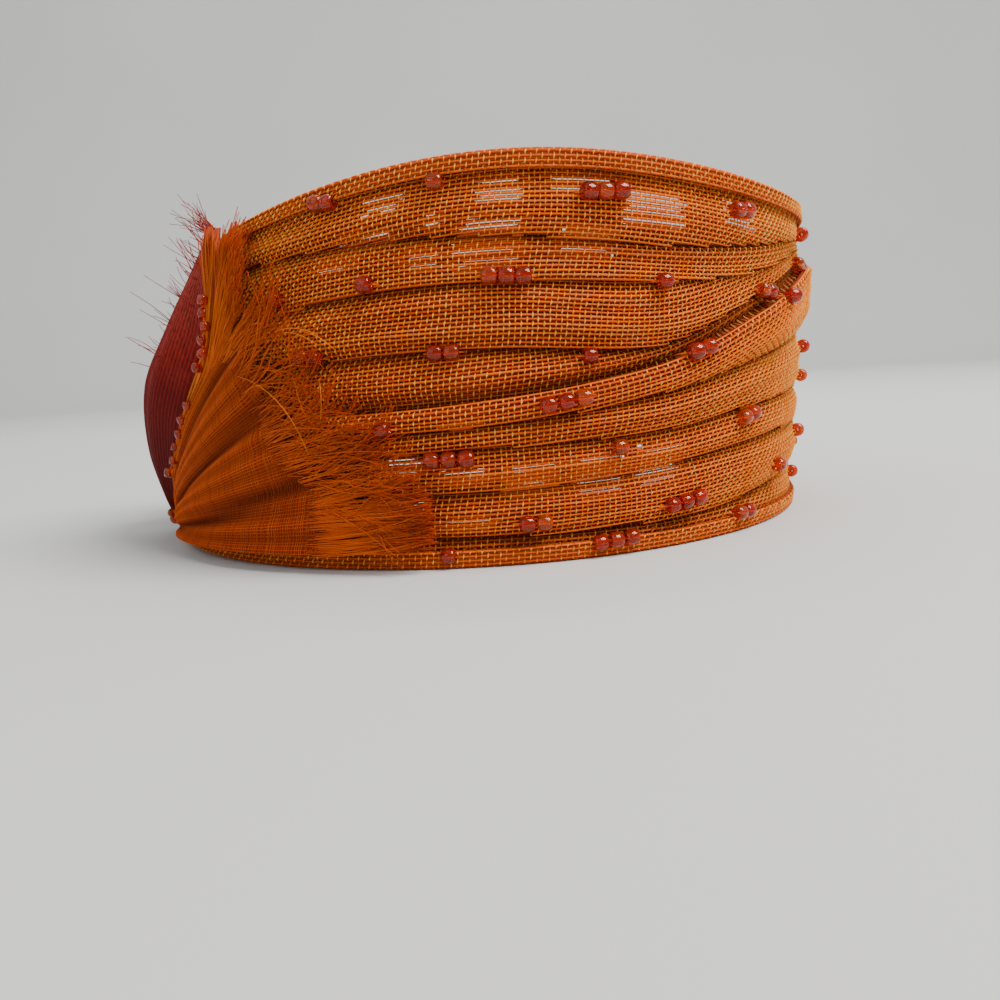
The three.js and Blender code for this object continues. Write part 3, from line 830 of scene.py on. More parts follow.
def strand_material():
    """Silk threads: rust red low in the fan, golden brown on its high side, redder at their tips, and with
    painted shade in the fan's valleys.
    """
    shader = Shader("frayed_strand")
    side = shader.math("ADD", shader.math("MULTIPLY", shader.value("side"), 0.75),
                       shader.math("MULTIPLY", shader.noise(60, 2), 0.25))
    base = shader.ramp(side, [(0.15, (0.50, 0.046, 0.004)), (0.45, (0.48, 0.054, 0.004)),
                              (0.65, (0.50, 0.100, 0.006)), (0.85, (0.56, 0.18, 0.015))])
    freed = shader.math("MULTIPLY", shader.math("SQRT", shader.value("along"), 0.5), 0.3)
    bright = shader.math("ADD", shader.math("MULTIPLY", shader.each(), 0.5), freed)
    base = shader.mix(bright, base, (0.78, 0.165, 0.014))
    tips = shader.math("MULTIPLY", shader.math("POWER", shader.value("along"), 3.0), 0.85)
    base = shader.mix(tips, base, (0.30, 0.012, 0.002))
    # Painted shade: the crease values darken the threads in the fan's valleys and ripple troughs
    shader.set(Base_Color=shader.mix(shader.value("crease"), base, (0.12, 0.010, 0.001)), Roughness=0.5,
               Specular_IOR_Level=0.3, Specular_Tint=(1, 0.6, 0.3, 1))
    return shader.material


def petal_material():
    """Corded silk, dark crimson below and dusty rose above, darker along fibre streaks and with painted
    shade in the grooves between its cords.
    """
    shader = Shader("crimson_silk")
    height = shader.math("ADD", shader.value("along"), shader.math("MULTIPLY", shader.noise(110, 3), 0.25))
    stops = [(0.3, (0.12, 0.002, 0.002)), (0.6, (0.19, 0.003, 0.002)), (0.8, (0.36, 0.026, 0.018)),
             (1.0, (0.44, 0.055, 0.038))]
    fibres = shader.noise(2400, 2, (1, 1, 0.22))
    streaks = shader.ramp(fibres, [(0.35, (0, 0, 0)), (0.65, (1, 1, 1))])
    base = shader.ramp(height, stops)
    # Darker along fibre streaks, and with painted shade in the grooves between cords
    dark = shader.math("ADD", shader.math("MULTIPLY", streaks, 0.5),
                       shader.math("MULTIPLY", shader.value("crease"), 0.6))
    dark = shader.math("MINIMUM", dark, 1.0)
    shader.set(Base_Color=shader.mix(dark, base, (0.045, 0.001, 0.001)), Roughness=0.6,
               Specular_IOR_Level=0.12, Specular_Tint=(1, 0.4, 0.3, 1))
    shader.bump(streaks, -0.7, 0.0004)
    return shader.material


def bead_material():
    """Lustred glass: orange to ruby, with a painted pink lustre reflection on its rims."""
    shader = Shader("lustred_glass")
    stops = [(0.05, (0.55, 0.014, 0.002)), (0.4, (0.66, 0.040, 0.002)), (0.75, (0.76, 0.105, 0.004)),
             (1.0, (0.60, 0.022, 0.006))]
    # Painted reflection: a pink lustre mixed into the colour towards the rims
    rim = shader.node("ShaderNodeLayerWeight", {"Blend": 0.3}).outputs["Facing"]
    painted_lustre = shader.math("MULTIPLY", shader.math("POWER", rim, 3.0), 0.35)
    colour = shader.mix(painted_lustre, shader.ramp(shader.each(), stops), (0.70, 0.12, 0.20))
    shader.set(Base_Color=colour, Roughness=0.035, Transmission_Weight=0.78, IOR=1.48, Coat_Weight=0.25,
               Coat_Roughness=0.02, Specular_Tint=(1, 0.65, 0.4, 1))
    return shader.material


WEFT_STOPS = [(0.1, (0.58, 0.062, 0.004)), (0.5, (0.77, 0.112, 0.006)), (0.9, (0.90, 0.175, 0.010))]
WARP_STOPS = [(0.1, (0.90, 0.27, 0.020)), (0.5, (0.98, 0.38, 0.045)), (0.9, (1.0, 0.52, 0.10))]
HAIR_STOPS = [(0.1, (0.20, 0.008, 0.006)), (0.9, (0.42, 0.03, 0.02))]
# Outer face of the cloth under the weave, seen between the yarns: its orange painted dark as shade
UNDER_SHADE_STOPS = [(0.3, (0.17, 0.018, 0.004)), (0.7, (0.33, 0.05, 0.008))]
HEM_STOPS = [(0.3, (0.26, 0.04, 0.007)), (0.7, (0.42, 0.08, 0.012))]
FAN_STOPS = [(0.3, (0.14, 0.014, 0.001)), (0.7, (0.24, 0.030, 0.002))]
FLOOR_STOPS = [(0.3, (0.60, 0.60, 0.585)), (0.7, (0.64, 0.64, 0.625))]

WEFT = yarn_material("orange_weft", WEFT_STOPS, 0.6)
WARP = yarn_material("gold_warp", WARP_STOPS, 0.4)
UNDER_SHADE = plain_material("shaded_under_layer", 90, UNDER_SHADE_STOPS, 0.8, 0.1, (900, 0.5, 0.0003))
LINING = lining_material()
HEM = plain_material("hem_cloth", 120, HEM_STOPS, 0.75, 0.2, (1200, 0.5, 0.0003))
FAN = plain_material("fan_silk", 70, FAN_STOPS, 0.7, 0.15, (1500, 0.4, 0.0002))
STRAND = strand_material()
PETAL = petal_material()
HAIR = yarn_material("petal_hair", HAIR_STOPS, 0.5)
GLASS = bead_material()
FLOOR = plain_material("pale_floor", 2, FLOOR_STOPS, 0.9, 0.1)


def fan_arcs():
    """Arc lengths round the lower edge from the fan's gather, and the turns that they reach."""
    turns = np.arange(FAN_TURN, FAN_TURN + 120, FAN_TABLE_STEP)
    angle = np.radians(turns)
    stretch = np.hypot(np.cos(angle), DEPTH_OVER_WIDTH * np.sin(angle))
    step = np.radians(FAN_TABLE_STEP) * LOWER_HALF_WIDTH * stretch
    return np.concatenate([[0], np.cumsum(step[:-1])]), turns


FAN_ARC, FAN_ARC_TURN = fan_arcs()


def bunched(angle, reach):
    """The direction that one of the fan's rays really has at a reach."""
    opening = smooth((reach - FAN_SHOULDER) / (FAN_TUFT_REACH - FAN_SHOULDER))
    share = BUNCHED_SHARE + (TUFT_SHARE - BUNCHED_SHARE) * opening
    return np.minimum(angle, BUNCH_ANGLE) + np.maximum(0, angle - BUNCH_ANGLE) * share


def fan_place(angle, reach):
    """Turn and height of a place on one of the fan's rays, at a reach in millimetres from its gather."""
    direction = np.radians(bunched(angle, reach))
    arc = reach * np.cos(direction)
    height = FAN_BASE_HEIGHT + reach * np.sin(direction)
    turn = np.where(arc >= 0, np.interp(arc, FAN_ARC, FAN_ARC_TURN), FAN_TURN + arc)
    return turn, height


def fan_border(height):
    """The turn of the fan's last ray at heights."""
    reaches = np.arange(0, 90, FAN_TABLE_STEP)
    turns, heights = fan_place(FAN_EDGE[-1]["angle"] + 0 * reaches, reaches)
    return np.interp(height, heights, turns)


def fan_polar(turn, height):
    arc = np.where(turn >= FAN_TURN, np.interp(turn, FAN_ARC_TURN, FAN_ARC), turn - FAN_TURN)
    rise = height - FAN_BASE_HEIGHT
    reach = np.hypot(arc, rise)
    direction = np.degrees(np.arctan2(rise, arc))
    share = (bunched(FAN_EDGE[-1]["angle"], reach) - BUNCH_ANGLE) / (FAN_EDGE[-1]["angle"] - BUNCH_ANGLE)
    angle = np.where(direction > BUNCH_ANGLE, BUNCH_ANGLE + (direction - BUNCH_ANGLE) / share, direction)
    return angle, reach


def fan_out(angle, share):
    puff = FAN_PUFF * np.sin(math.pi * np.clip(share, 0, 1)) ** 0.8
    valleys = 0
    for pleat in FAN_PLEATS:
        away = (angle - pleat["angle"] - pleat["drift"] * share) / pleat["width"]
        valleys = valleys + pleat["depth"] * np.exp(-away * away)
    opened = np.minimum(1, share / 0.25)
    ripple = FAN_RIPPLE_DEPTH * np.sin(2 * math.pi * angle / FAN_RIPPLE_ANGLE) * opened
    return SEAT + np.maximum(0, puff + FAN_PLEAT_DEPTH * (0.6 - valleys) * opened + ripple)


def fan_valley(angle, share):
    """Painted shade for places in one of the fan's valleys or ripple troughs, from 0 to 1."""
    deepest = 0
    for pleat in FAN_PLEATS:
        away = (angle - pleat["angle"] - pleat["drift"] * share) / (0.7 * pleat["width"])
        deepest = np.maximum(deepest, (0.5 + 0.4 * pleat["depth"]) * np.exp(-away * away))
    ripple = 0.16 * (1 - np.sin(2 * math.pi * angle / FAN_RIPPLE_ANGLE))
    return np.clip(0.75 * deepest + ripple, 0, 1)


def under_trim(turn, height):
    """Whether a place on the band is well covered by the fan or a petal."""
    angle, reach = fan_polar(turn, height)
    cloth = FAN_REACH * along_table(FAN_EDGE, "angle", "cloth", angle)
    by_fan = (angle > 0) & (angle < 88) & (reach < cloth - FAN_MARGIN)
    up = (height - FAN_BASE_HEIGHT) / PETAL_HEIGHT
    back = FAN_TURN - PETAL_GAP_TURN - along_table(PETAL_SECTIONS, "height", "back", up)
    by_petal = (turn < fan_border(height) - PETAL_MARGIN) & (turn > back + PETAL_MARGIN)
    by_petal &= (up > 0.08) & (up < 0.85)
    return by_fan | by_petal


def in_sheer_patch(turn, height):
    share = height / full_height(turn)
    found = np.zeros(np.broadcast(turn, height).shape, bool)
    for patch in SHEER_PATCHES:
        ragged = 0.7 * np.sin(height * 2.9 + patch["turn"])
        near = np.abs(turn - patch["turn"] + ragged) < patch["wide"] / 2
        found |= near & (share > patch["low"]) & (share < patch["high"])
    return found


def woven_rows(pleat, warp_turns, rises):
    """Turns and heights of places on lines at rises above a pleat's guide line, one row for each."""
    middle = pleat.middle(warp_turns)
    slope = np.gradient(middle, warp_turns) / arc_per_degree(warp_turns)
    rise = rises[:, None]
    lean = 0.7 * slope * rise / (1 + slope**2)
    wander = 0.3 * np.sin(middle / 4 + rise / 3 + 3 * np.sin(warp_turns / 15))
    turn = warp_turns - (lean + wander) / arc_per_degree(warp_turns)
    drift = 0.1 * np.sin(warp_turns / 6 + rise / 2.1)
    return turn, pleat.middle(turn) + rise + drift


def weave(pleats, name):
    """Weft and warp yarns that go over and under each other along each pleat."""
    warp_turns = turns_along(WARP_PITCH)
    warp_turns = warp_turns + draws.normal(0, 0.04, len(warp_turns))
    wefts, warps, fills = [], [], []
    weft_shade, warp_shade, fill_shade = [], [], []
    for pleat in pleats:
        middle = pleat.middle(warp_turns)
        most = int(np.max(pleat.high(warp_turns) - middle) / WEFT_PITCH) + 1
        least = int(np.max(middle - pleat.low(warp_turns)) / WEFT_PITCH) + 1
        steps = np.arange(-least, most + 1)
        turn, height = woven_rows(pleat, warp_turns, steps * WEFT_PITCH + draws.normal(0, 0.04, len(steps)))
        kept = (height >= pleat.low(turn)) & (height <= pleat.high(turn))
        kept &= (np.abs(turn) <= END_TURN - 0.4) & ~under_trim(turn, height)
        base = pleat.out(turn, height)
        # Painted shade near the pleat's creases
        dark = pleat.crease_shade(turn, height)
        sign = np.where((np.arange(len(steps))[:, None] + np.arange(len(warp_turns))[None]) % 2, 1, -1)
        slub = 1 + 0.12 * np.sin(warp_turns / 2.3 + draws.uniform(0, 6.28, len(steps))[:, None] * 9)
        slub = slub * draws.uniform(0.9, 1.1, len(steps))[:, None]
        weft_centres = skin(turn, height, base - sign * WEFT_SWING)
        runs, stays = kept_runs(kept)
        ups = outward(turn)
        wefts.append((weft_centres[stays], (WEFT_RADIUS * slub)[stays], runs, ups[stays]))
        weft_shade.append(dark[stays])
        warp_centres = skin(turn, height, base + sign * WARP_SWING)
        thick = np.where(sign > 0, OVER_WARP_RADIUS, UNDER_WARP_RADIUS)
        thick = thick * draws.uniform(0.85, 1.15, sign.shape)
        runs, stays = kept_runs(kept.T)
        warps.append((warp_centres.transpose(1, 0, 2)[stays], thick.T[stays], runs,
                      ups.transpose(1, 0, 2)[stays]))
        # Painted shade on the warps where they pass under the wefts, and part of the creases' painted shade
        warp_shade.append(np.maximum(0.8 * dark, 0.45 * (sign < 0)).T[stays])

        gaps = steps + 0.5
        turn, height = woven_rows(pleat, warp_turns, gaps * WEFT_PITCH)
        closed = (draws.random((len(gaps), 1)) < SHEER_FILL) | ~in_sheer_patch(turn, height)
        near = in_sheer_patch(turn, height + 1) | in_sheer_patch(turn, height - 1)
        near |= in_sheer_patch(turn - 1.5, height) | in_sheer_patch(turn + 1.5, height)
        kept = near & (height >= pleat.low(turn)) & (height <= pleat.high(turn))
        centres = skin(turn, height - np.where(closed, 0, BARE_DROP), pleat.out(turn, height) - INNER_DEPTH)
        runs, stays = kept_runs(kept)
        radii = np.where(closed, INNER_RADIUS, BARE_RADIUS)
        fills.append((centres[stays], radii[stays], runs, outward(turn)[stays]))
        # Painted shade on the yarns behind the weave
        fill_shade.append(np.full(stays.sum(), INNER_SHADE))
    # The crease values carry each yarn's painted shade into its colour
    return [
        yarn_piece(f"{name}_{kind}", parts, material, {"crease": np.concatenate(dark)}, flatness)
        for kind, parts, material, slot, dark, flatness in (
            ("weft", wefts, WEFT, "orange_weave", weft_shade, WEFT_FLATNESS),
            ("warp", warps, WARP, "gold_yarn", warp_shade, 1.0),
            ("inner_weft", fills, WEFT, "orange_weave", fill_shade, 0.5),
        )
    ]


def undercloth(pleats, name):
    """The continuous pleated cloth behind a drape's weave, and its flat length and width."""
    turns = np.linspace(-END_TURN, END_TURN, CLOTH_COLUMNS)
    heights = []
    outs = []
    for pleat in pleats:
        low = pleat.low(turns) + UNDERCLOTH_INSET
        high = pleat.high(turns) - UNDERCLOTH_INSET
        rows = int(np.ceil(np.max(high - low) / UNDERCLOTH_STEP))
        for share in np.linspace(0, 1, rows + 1):
            height = low + (high - low) * share
            heights.append(height)
            outs.append(pleat.out(turns, height))
    heights = np.array(heights)
    outs = np.array(outs)
    turn = np.broadcast_to(turns, heights.shape)
    outer = skin(turn, heights, outs - UNDERCLOTH_GAP)
    inner = skin(turn, heights, outs - UNDERCLOTH_GAP - UNDERCLOTH_WALL)
    middle_turn = (turn[:-1, :-1] + turn[1:, 1:]) / 2
    middle_height = (heights[:-1, :-1] + heights[1:, 1:]) / 2
    kept = ~in_sheer_patch(middle_turn, middle_height)
    arcs = np.cumsum(arc_per_degree(turns)) * (turns[1] - turns[0])
    lengths = np.concatenate([[0], np.cumsum(np.max(np.abs(np.diff(heights, axis=0)), axis=1))])
    maps = np.stack(np.broadcast_arrays(arcs[None, :], heights), -1)
    # The outer face gets the dark painted shade colour, the inner face the cloth's own woven orange
    piece = wall(f"{name}_cloth", outer, inner, kept, [UNDER_SHADE, LINING], maps)
    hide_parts(name)
    return piece, (arcs[-1], lengths[-1])


def binding(name, edge_at, upwards):
    """A doubled strip round one edge of the band, with its weave laid over it."""
    outer = CLEARANCE + HEM_CLOTH
    inner = -DRAPE_WALL - CLEARANCE - HEM_CLOTH
    way = -1 if upwards else 1
    round_off = 0.7
    section = [
        (CLEARANCE, HEM_WIDTH), (outer, HEM_WIDTH), (outer, round_off), (outer - 0.3, 0.25),
        (outer - round_off, 0), (inner + round_off, 0), (inner + 0.3, 0.25), (inner, round_off),
        (inner, HEM_WIDTH),
        (inner + HEM_CLOTH, HEM_WIDTH), (inner + HEM_CLOTH, HEM_CLOTH), (CLEARANCE, HEM_CLOTH),
    ]
    turns = np.linspace(-END_TURN, END_TURN, CLOTH_COLUMNS)
    sink = 0.16
    rings = []
    for out, inset in section:
        out = out - sink * np.sign(out - (outer + inner) / 2)
        inset = inset + sink if inset < HEM_WIDTH else inset - 2 * sink
        rings.append(skin(turns, edge_at(turns) + way * inset, out))
    rings = np.array(rings)
    count = len(section)
    index = np.arange(count * len(turns)).reshape(count, len(turns))
    following = np.roll(index, -1, axis=0)
    quads = np.stack([index[:, :-1], index[:, 1:], following[:, 1:], following[:, :-1]], -1).reshape(-1, 4)
    caps = np.stack([index[::-1, 0], index[:, -1]])
    if not upwards:
        quads = quads[:, ::-1]
        caps = caps[:, ::-1]
    body = new_piece(f"{name}_cloth", rings.reshape(-1, 3), [quads, caps], [HEM])
    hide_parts(name)

    path = np.array([
        (outer, HEM_WIDTH), (outer, round_off), (outer - 0.3, 0.45), (outer - round_off, 0.28),
        (inner + round_off, 0.28), (inner + 0.3, 0.45), (inner, round_off), (inner, HEM_WIDTH),
    ])
    lengths = np.concatenate([[0], np.cumsum(np.linalg.norm(np.diff(path, axis=0), axis=1))])
    count = int(lengths[-1] / WEFT_PITCH)
    places = np.linspace(0.25, lengths[-1] - 0.25, count)
    out = np.interp(places, lengths, path[:, 0])[:, None]
    inset = np.interp(places, lengths, path[:, 1])[:, None]
    facing = np.gradient(np.stack([out[:, 0], inset[:, 0]], -1), axis=0)
    facing /= np.linalg.norm(facing, axis=1, keepdims=True)
    face_out = -facing[:, 1][:, None]
    face_inset = facing[:, 0][:, None]
    warp_turns = turns_along(WARP_PITCH)
    turn = np.broadcast_to(warp_turns, (count, len(warp_turns))) + draws.normal(0, 0.03, len(warp_turns))
    turn = np.clip(turn, -END_TURN, END_TURN)
    sign = np.where((np.arange(count)[:, None] + np.arange(len(warp_turns))[None]) % 2, 1, -1)

    def centres(swing):
        return skin(turn, edge_at(turn) + way * (inset + face_inset * swing), out + face_out * swing)

    ups = centres(1.0) - centres(0.0)
    slub = draws.uniform(0.85, 1.05, (count, 1)) * np.ones(len(warp_turns))
    kept = np.ones(turn.shape, bool)
    runs, stays = kept_runs(kept)
    wefts = (centres(-sign * WEFT_SWING)[stays], (WEFT_RADIUS * slub)[stays], runs, ups[stays])
    thick = np.where(sign > 0, OVER_WARP_RADIUS, UNDER_WARP_RADIUS)
    over = centres(sign * WARP_SWING).transpose(1, 0, 2)
    runs, stays = kept_runs(kept.T)
    warps = (over[stays], thick.T[stays], runs, ups.transpose(1, 0, 2)[stays])
    weft = yarn_piece(f"{name}_weft", [wefts], WEFT, flatness=WEFT_FLATNESS)
    # Painted shade on the warps where they pass under the wefts
    warp_shade = (0.45 * (sign < 0)).T[stays]
    warp = yarn_piece(f"{name}_warp", [warps], WARP, {"crease": warp_shade})
    return body, [weft, warp], lengths[-1]


def frayed_fan():
    """The fan's gathered cloth, its radial and cross threads."""
    first = FAN_LOWEST_ANGLE
    last = FAN_EDGE[-1]["angle"]
    angles = np.linspace(last, first, 260)
    rings = np.linspace(0, 1, 44)
    angle, ring = np.meshgrid(angles, rings)
    tip = FAN_REACH * along_table(FAN_EDGE, "angle", "tip", angle)
    ragged = 1 - 0.05 * np.sin(angle * 1.9) * np.sin(angle * 0.7)
    cloth = FAN_REACH * along_table(FAN_EDGE, "angle", "cloth", angle) * ragged * 0.97
    reach = FAN_NECK + (cloth - FAN_NECK) * ring
    under = fan_out(angle, reach / tip)
    turn, height = fan_place(angle, reach)
    outer = skin(turn, height, under + FAN_CLOTH_OUT)
    inner = skin(turn, height, under + FAN_CLOTH_IN)
    kept = np.ones((len(rings) - 1, len(angles) - 1), bool)
    body = wall("fan_cloth", outer, inner, kept, [FAN])
    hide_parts("frayed_fan")

    ray_angles = np.linspace(first + 0.2, last - 0.2, FAN_RAYS) + draws.normal(0, 0.07, FAN_RAYS)
    steps = np.linspace(0, 1, 24)
    ray, step = np.meshgrid(ray_angles, steps, indexing="ij")
    tip = FAN_REACH * along_table(FAN_EDGE, "angle", "tip", ray)
    cloth = FAN_REACH * along_table(FAN_EDGE, "angle", "cloth", ray)
    reach = FAN_NECK + (cloth - FAN_NECK) * step
    turn, height = fan_place(ray, reach)
    out = fan_out(ray, reach / tip) + RAY_OUT
    centres = skin(turn, height, out).reshape(-1, 3)
    radii = (FAN_THREAD_RADIUS * np.clip(reach / 30, 0.6, 1)).ravel()
    runs = np.repeat(np.arange(FAN_RAYS), len(steps))
    rays = (centres, radii, runs, outward(turn).reshape(-1, 3))
    # Painted shade in the fan's valleys and ripple troughs
    ray_valley_shade = fan_valley(ray, reach / tip).ravel()
    ray_side = ray.ravel() / last

    cross_reach = np.arange(12, 0.84 * FAN_REACH, FAN_RING_PITCH)
    cross_angles = np.linspace(first, last, 2 * FAN_RAYS)
    across, reach = np.meshgrid(cross_angles, cross_reach)
    reach = reach + draws.normal(0, 0.08, len(cross_reach))[:, None] + 0.6 * np.sin(across / 9)
    tip = FAN_REACH * along_table(FAN_EDGE, "angle", "tip", across)
    cloth = FAN_REACH * along_table(FAN_EDGE, "angle", "cloth", across)
    turn, height = fan_place(across, reach)
    weaving = CROSS_SWING * np.where(np.arange(len(cross_angles)) % 2, 1, -1)
    centres = skin(turn, height, fan_out(across, reach / tip) + CROSS_OUT + weaving)
    kept = reach < cloth * 0.97
    runs, stays = kept_runs(kept)
    crosses = (centres[stays], np.full(stays.sum(), FAN_THREAD_RADIUS * 0.9), runs, outward(turn)[stays])
    # The crease values carry the painted valley shade
    values = {
        "along": np.zeros(len(ray_side) + len(runs)),
        "side": np.concatenate([ray_side, across[stays] / last]),
        "crease": np.concatenate([ray_valley_shade, fan_valley(across, reach / tip)[stays]]),
    }
    threads = yarn_piece("fan_threads", [rays, crosses], STRAND, values=values)
    return body, threads


def fringe_strands():
    """Curly threads that leave the fan's edge, zone by zone."""
    steps = np.linspace(0, 1, 11)
    centres, radii, ups, along, sides = [], [], [], [], []
    for zone in FRINGE_ZONES:
        clumps = [
            {"angle": angle, "stray": draws.normal(0, zone["stray"]),
             "lift": abs(draws.normal(0, zone["lift"])), "reach": draws.uniform(-0.3, 1)}
            for angle in np.linspace(zone["first"], zone["last"], zone["clumps"])
        ]
        for _ in range(zone["strands"]):
            angle = draws.uniform(zone["first"], zone["last"])
            clump = min(clumps, key=lambda one: abs(one["angle"] - angle))
            tip = FAN_REACH * float(along_table(FAN_EDGE, "angle", "tip", angle)) + zone["longer"]
            cloth = FAN_REACH * float(along_table(FAN_EDGE, "angle", "cloth", angle))
            start = cloth - draws.uniform(1, 7)
            shortening = 0.6 * clump["reach"] + 0.4 * draws.uniform(-0.3, 1)
            end = tip - (tip - cloth) * zone["uneven"] * shortening
            reach = start + (end - start) * steps
            gather = 0.7 * (clump["angle"] - angle)
            stray = 0.75 * clump["stray"] + 0.45 * draws.normal(0, zone["stray"]) + gather
            curl = draws.normal(0, zone["curl"])
            wave = curl * np.sin(steps * draws.uniform(3, 7) + draws.uniform(0, 6))
            side = angle + stray * steps**1.5 + wave * steps
            lift = (0.7 * clump["lift"] + 0.3 * abs(draws.normal(0, zone["lift"]))) * steps**1.4
            kink = 0.35 * zone["lift"] * np.sin(steps * draws.uniform(4, 9)) * steps
            base = fan_out(side, reach / tip)
            turn, height = fan_place(side, reach)
            height = np.clip(height, 2.2, high_edge(turn) + 3.5)
            sides.append(np.full(len(steps), angle / 91))
            out = base + 0.6 + np.maximum(lift + kink, 0.1)
            centres.append(skin(turn, height, out))
            radii.append(zone["thickness"] * draws.uniform(0.75, 1.2) * (1 - 0.3 * steps))
            ups.append(outward(turn))
            along.append(steps)
    for thread in LONG_THREADS:
        angle = thread["from_angle"] + (thread["to_angle"] - thread["from_angle"]) * steps
        reach = thread["from_reach"] + (thread["to_reach"] - thread["from_reach"]) * steps
        reach = reach + thread["bow"] * np.sin(math.pi * steps)
        turn, height = fan_place(angle, reach)
        centres.append(skin(turn, height, SEAT + 4.5 + 1.2 * np.sin(math.pi * steps)))
        radii.append(np.full(len(steps), 0.09))
        ups.append(outward(turn))
        along.append(0 * steps)
        sides.append(1 + 0 * steps)
    runs = np.repeat(np.arange(len(centres)), len(steps))
    part = (np.concatenate(centres), np.concatenate(radii), runs, np.concatenate(ups))
    values = {"along": np.concatenate(along), "side": np.concatenate(sides)}
    return yarn_piece("fan_fringe", [part], STRAND, values=values)


def cupped_petal(name, sections, base_height, tall, front_at, back_from, bulge, node):
    """A cupped sheet of corded silk that stands off the band between two edges."""
    widest = front_at(base_height + tall / 2) - back_from + max(row["back"] for row in sections)
    ribs = int(widest * CORD_RIBS_PER_DEGREE)
    columns = ribs * 5
    up, across = np.meshgrid(np.linspace(0, 1, 56), np.linspace(0, 1, columns + 1), indexing="ij")
    height = base_height + tall * up
    front = front_at(height)
    back = back_from - along_table(sections, "height", "back", up)
    turn = back + (front - back) * across
    arch = np.sin(math.pi * across) ** 0.7
    broad = PETAL_RIB_DEPTH * np.cos(2 * math.pi * PETAL_RIBS * across) * arch
    wobble = 0.9 * np.sin(7 * up + 5 * across) + 0.35 * np.sin(31 * up + 17 * across)
    fine = CORD_RIB_DEPTH * (np.abs(np.sin(math.pi * ribs * across + wobble)) - 0.5) * np.sqrt(arch)
    under = SEAT + np.maximum(0, bulge * along_table(sections, "height", "bulge", up) * arch + broad)
    outer = skin(turn, height, under + PETAL_CLOTH + fine)
    inner = skin(turn, height, under + 0.4)
    kept = np.ones((outer.shape[0] - 1, outer.shape[1] - 1), bool)
    piece = wall(name, outer, inner, kept, [PETAL])
    # Painted shade in the grooves between the fine cords, kept as crease values
    groove_shade = np.clip(0.5 - fine / (CORD_RIB_DEPTH * np.sqrt(np.maximum(arch, 0.01))), 0, 1)
    for key, column in (("along", up), ("crease", groove_shade)):
        attribute = piece.data.attributes.new(key, "FLOAT", "POINT")
        attribute.data.foreach_set("value", np.tile(column.ravel(), 2).astype(np.float32))
    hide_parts(node)
    measured = outer[::5]
    arcs = [float(np.linalg.norm(np.diff(row, axis=0), axis=1).sum()) for row in measured]
    flat = sum(arcs) / len(measured)
    tall_arc = float(np.linalg.norm(np.diff(outer[:, columns // 2], axis=0), axis=1).sum())
    return piece, (flat, tall_arc), outer


def petal_hairs(face):
    """Frayed threads that stand off the main petal's upper part and its upper edge."""
    steps = np.linspace(0, 1, 8)
    rows, columns = face.shape[:2]
    centres, radii, ups = [], [], []
    for number in range(PETAL_HAIRS):
        on_edge = number % 3 == 0
        row = rows - 1 if on_edge else int(draws.uniform(0.55, 0.99) * rows)
        place = face[row, int(draws.uniform(0.2, 0.95) * columns)]
        beside = face[row, columns // 3] - face[row, 0]
        away = np.array([-0.75, -0.15, 0.0]) + draws.normal(0, 0.2, 3) + 0.01 * beside
        away[2] = draws.uniform(0.5, 1.2)
        away /= np.linalg.norm(away)
        length = draws.uniform(3, 9)
        bend = draws.normal(0, 0.22, 3)
        centres.append(place + length * (steps[:, None] * away + (steps**2)[:, None] * bend))
        radii.append(0.11 * (1 - 0.4 * steps))
        ups.append(np.tile((0.3, -0.95, 0.1), (len(steps), 1)))
    runs = np.repeat(np.arange(len(centres)), len(steps))
    part = (np.concatenate(centres), np.concatenate(radii), runs, np.concatenate(ups))
    return yarn_piece("petal_hairs", [part], HAIR)


def bead_template():
    """Points and faces of one drilled bead with its hole along X."""
    around = 12
    sides = 22
    spin = 2 * math.pi * np.arange(around) / around
    squarish = 0.9
    inner = BEAD_HOLE / 2
    middle = (BEAD_DIAMETER / 2 + inner) / 2
    half = (BEAD_DIAMETER / 2 - inner) / 2
    radius = middle + half * np.sign(np.cos(spin)) * np.abs(np.cos(spin)) ** squarish
    length = BEAD_LENGTH / 2 * np.sign(np.sin(spin)) * np.abs(np.sin(spin)) ** squarish
    turn = 2 * math.pi * np.arange(sides) / sides
    points = np.stack([
        np.broadcast_to(length[None], (sides, around)),
        radius[None] * np.cos(turn)[:, None],
        radius[None] * np.sin(turn)[:, None],
    ], -1).reshape(-1, 3)
    index = np.arange(sides * around).reshape(sides, around)
    next_side = np.roll(index, -1, axis=0)
    faces = np.stack([index, next_side, np.roll(next_side, -1, axis=1), np.roll(index, -1, axis=1)], -1)
    return points, faces.reshape(-1, 4)


def surface_out(turn, height):
    """How far the visible weave stands out at a place on the band."""
    best = None
    for pleat in LOWER_PLEATS + UPPER_PLEATS:
        inside = (height >= pleat.low(turn)) & (height <= pleat.high(turn))
        out = np.where(inside, pleat.out(turn, height), -9)
        best = out if best is None else np.maximum(best, out)
    return np.maximum(best, -1)


